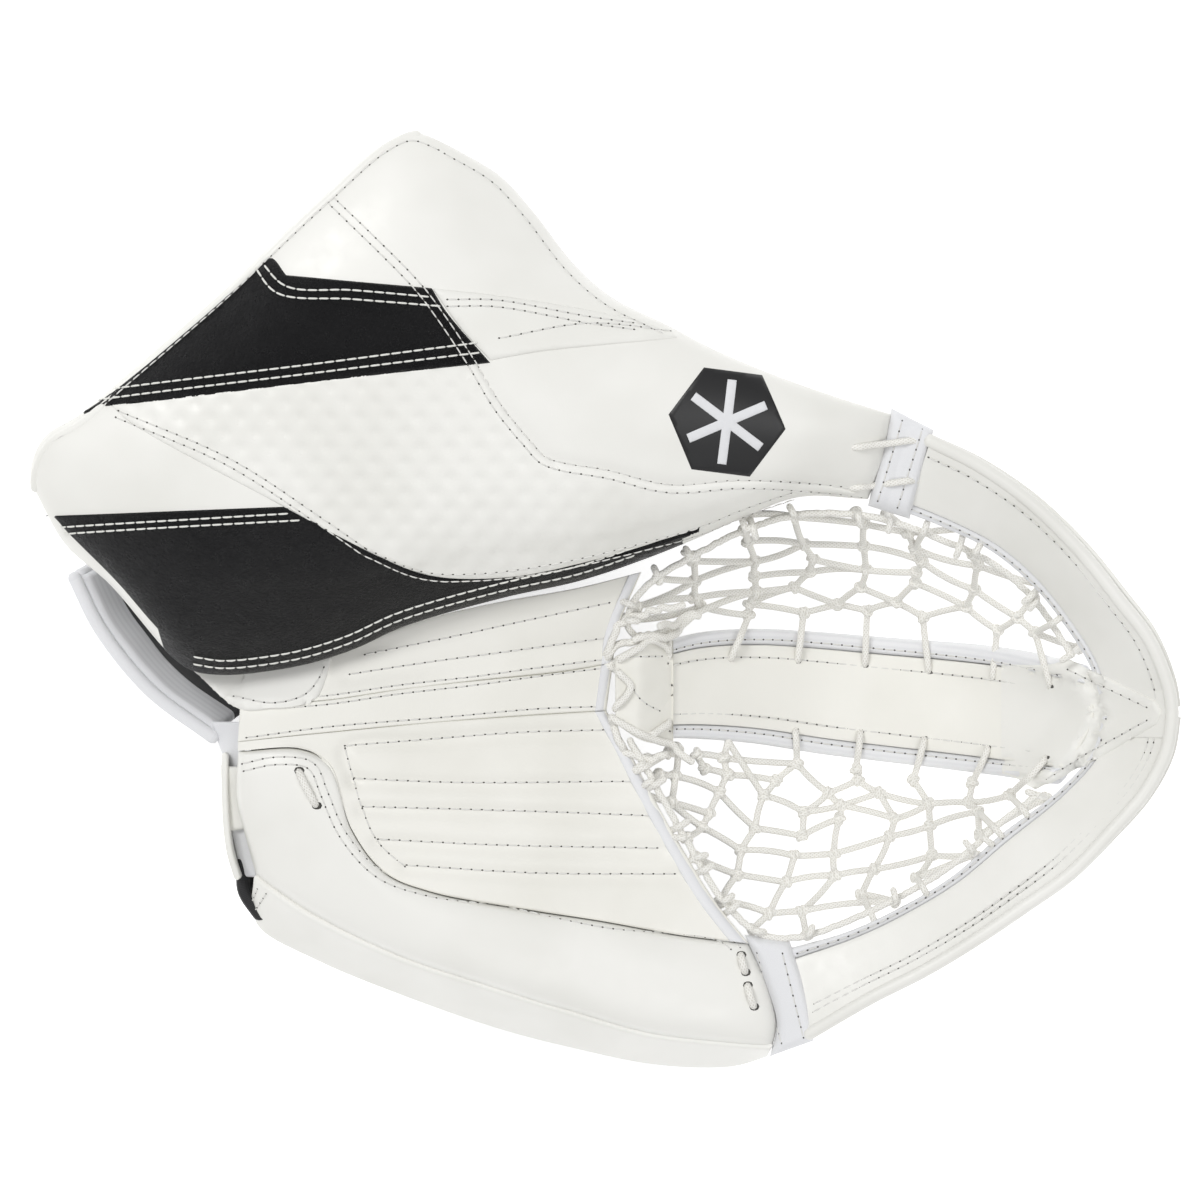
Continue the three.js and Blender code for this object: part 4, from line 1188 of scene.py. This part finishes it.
def make_root():
    """The ruffled leather at the foot of the T and the laces that draw it to the palm."""
    surface = coons([(7, -58, 72), (20, -66, 68), (34, -68, 56)],
                    [(7, -27, 73), (19, -21, 70), (34, -20, 56)])
    layer("tee_collar", "spine", surface, 3, 1.2, PALM_LEATHER, lift=3.2, edge=(1.2, 0.6, 1.2, 1.2),
          relief=total(ripples(7, 0.7, 2.0), lambda xy: -3.0 * np.clip((xy[:, 0] - 18) / 16, 0, 1)))
    ground = Ground.of("tee_collar", "palm_thumb_skin", "palm_center_skin", "palm_finger_skin",
                       "palm_thumb_border",
                       "palm_center_border", "palm_finger_border", *TEE_PIECES)
    paths = []
    for lace in ROOT_LACES:
        points, n = over(ground, lace, LACE * 0.8, gap=3)
        points[:, 2] = np.maximum(points[:, 2], ROOT_FLOOR)
        points[[0, -1]] -= n[[0, -1]] * 2.2
        paths.append(curved(points, 24))
    wear(cords("tee_root_laces", paths, LACE * 1.1, LACE_CORD, flat=0.75), "spine")
    sewn("tee_collar", Ground.of("tee_collar"), [[(13, -38), (19, -47), (29, -53)], [(14, -27), (30, -27)]],
         "spine")


# ---------------------------------------------------------------- under the hand

def make_underside():
    lines = ((-150, -70, -150), (-110, -60, -170), (-70, -60, -185), (-30, -70, -200), (10, -95, -208))
    quilt = [[(x, top), (x, bottom)] for x, top, bottom in lines]
    layer("backhand_cover", "hand_side", BACK, 6, 3, BLACK_NYLON, "backhand_pad", lift=6,
          under=grooves(quilt, 1.4, 2.6), pad=SOFT_FILL)
    layer("backhand_inner_lining", "hand_side", BACK, 1.7, 5, LINING, "backhand_lining", lift=8.4, edge=0.8,
          u=(0.01, 0.99), v=(0.01, 0.99), pad=THIN_FILL)
    layer("knuckle_cushion", "hand_side", BACK, 4.6, 2.5, BLACK_NYLON, "knuckle_pad", lift=-0.4, u=(0.5, 0.9),
          v=MIDDLE, pad=THICK_FILL)
    layer("wrist_shell", "hand_side", WRIST, 5, 2.5, BLACK_NYLON, "wrist_cover", lift=5, pad=FELT_FILL)
    layer("wrist_cushion", "hand_side", WRIST, 4.6, 2.5, BLACK_NYLON, "wrist_roll", lift=-0.4, u=(0, 0.375),
          v=MIDDLE, pad=THICK_FILL)
    edge = WRIST(np.full(90, 0.0), np.linspace(0.02, 0.98, 90)) + UP * 2.5
    rim = WRIST(np.linspace(0.0, 1.0, 60), np.full(60, 0.0)) + UP * 1.5
    wear(cords("wrist_edge_binding", [edge, rim], 3.2, WHITE_NYLON, sides=12), "hand_side")
    for k, finger in enumerate(("index", "middle", "ring", "little")):
        middle = np.array([-16, -148]) + (1.5 - k) * 18.4 * np.array([0.49, 0.87])
        ends = [(*(middle + side * 18 * np.array([0.87, -0.49])), 36 + 2 * side) for side in (-1, 1)]
        wear(sleeve(f"{finger}_sleeve", *ends, 9, 8.8, 1.6, LINING), "hand_side", f"{finger}_stall")


def make_straps():
    straps = (("wrist", WRIST, (0.5, 0.875), "hand_side"), ("hand", BACK, (0.1, 0.4), "hand_side"),
              ("thumb", THUMB_BACK, (0.3333, 0.5556), "thumb_side"))
    for name, shell, u, home in straps:
        strap = f"{name}_strap"
        layer(f"{name}_webbing", strap, shell, 2.4, 2.0, WHITE_WEBBING, strap, lift=-1.6, u=u,
              v=(0.093, 0.907), edge=(1, 1, 1.2, 1.2))
        seams = tuple(u[0] + (u[1] - u[0]) * share for share in (0.12, 0.88))
        rows = [on(shell, seam, (0.12, 0.88), -4.1, facing=-1) for seam in seams]
        rows += [on(shell, seams, v, -4.1, facing=-1, count=20) for v in (0.12, 0.17, 0.83, 0.88)]
        wear(stitches(f"{name}_webbing_stitches", rows, SHADED_THREAD), strap)
        layer(f"{name}_hook_pad", home, shell, 0.9, 2.0, LOOP_PILE, f"{name}_hook_patch", lift=-0.3, u=u,
              v=(0.58, 0.83), edge=0.4)
        layer(f"{name}_anchor_tab", home, shell, 3.6, 1.6, WHITE_LEATHER, f"{name}_strap_anchor", lift=-0.4,
              u=u, v=(0, 0.083), edge=1.4)


# ---------------------------------------------------------------- the scene

def make_camera():
    camera = bpy.data.cameras.new("camera")
    camera.lens = CAMERA_LENS
    camera.sensor_width = SENSOR
    camera.clip_end = 20
    view = bpy.data.objects.new("camera", camera)
    view.location = put(CAMERA_AT)
    bpy.context.scene.collection.objects.link(view)
    bpy.context.scene.camera = view


def light(name, place, size, power):
    """A round lamp aimed at the middle of the glove."""
    lamp = bpy.data.lights.new(name, "AREA")
    lamp.shape = "DISK"
    lamp.size = size
    lamp.energy = power
    thing = bpy.data.objects.new(name, lamp)
    thing.location = place
    aim = Vector((0, 0, 0.05)) - Vector(place)
    thing.rotation_euler = aim.to_track_quat("-Z", "Y").to_euler()
    bpy.context.scene.collection.objects.link(thing)


def make_studio():
    look = Look("studio_floor")
    drift = look.add("TexNoise", "Fac", Scale=3.0, Detail=2.0)
    color = look.ramp(drift, 0.3, (0.90, 0.90, 0.90), 0.7, (0.93, 0.93, 0.93))
    data = bpy.data.meshes.new("floor")
    data.from_pydata([(-4, -4, 0), (4, -4, 0), (4, 4, 0), (-4, 4, 0)], [], [(0, 1, 2, 3)])
    data.materials.append(look.done(Base_Color=color, Roughness=0.7, Emission_Color=(1, 1, 1, 1),
                                    Emission_Strength=0.6))
    floor = bpy.data.objects.new("floor", data)
    bpy.context.scene.collection.objects.link(floor)
    world = bpy.data.worlds.new("studio")
    world.use_nodes = True
    background = world.node_tree.nodes["Background"]
    background.inputs["Color"].default_value = (1, 1, 1, 1)
    background.inputs["Strength"].default_value = 0.55
    bpy.context.scene.world = world
    light("key", (-1.3, 1.2, 3.0), 1.1, 44)
    light("fill", (1.2, -0.9, 3.0), 1.6, 22)
    bpy.context.scene.view_settings.view_transform = "Standard"


make_camera()
make_studio()
make_cuff()
make_thumb()
make_palm()
make_heel()
make_roll()
make_tee()
make_rims()
make_top()
UPPER_BORDER = [*NET_ROOT[:-1], *NET_THUMB_EDGE]
make_net("upper", UPPER_KNOTS, UPPER_LINKS, UPPER_TIES, NET_UPPER, THUMB_FOLD, UPPER_BORDER)
make_net("lower", LOWER_KNOTS, LOWER_LINKS, LOWER_TIES, NET_LOWER, FINGER_FOLD, NET_FINGER_EDGE)
make_root()
make_underside()
make_straps()

for node in ("cuff_thumb_board", "finger_board", "t_core"):
    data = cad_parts[node].data
    data.materials.clear()
    data.materials.append(BOARD)
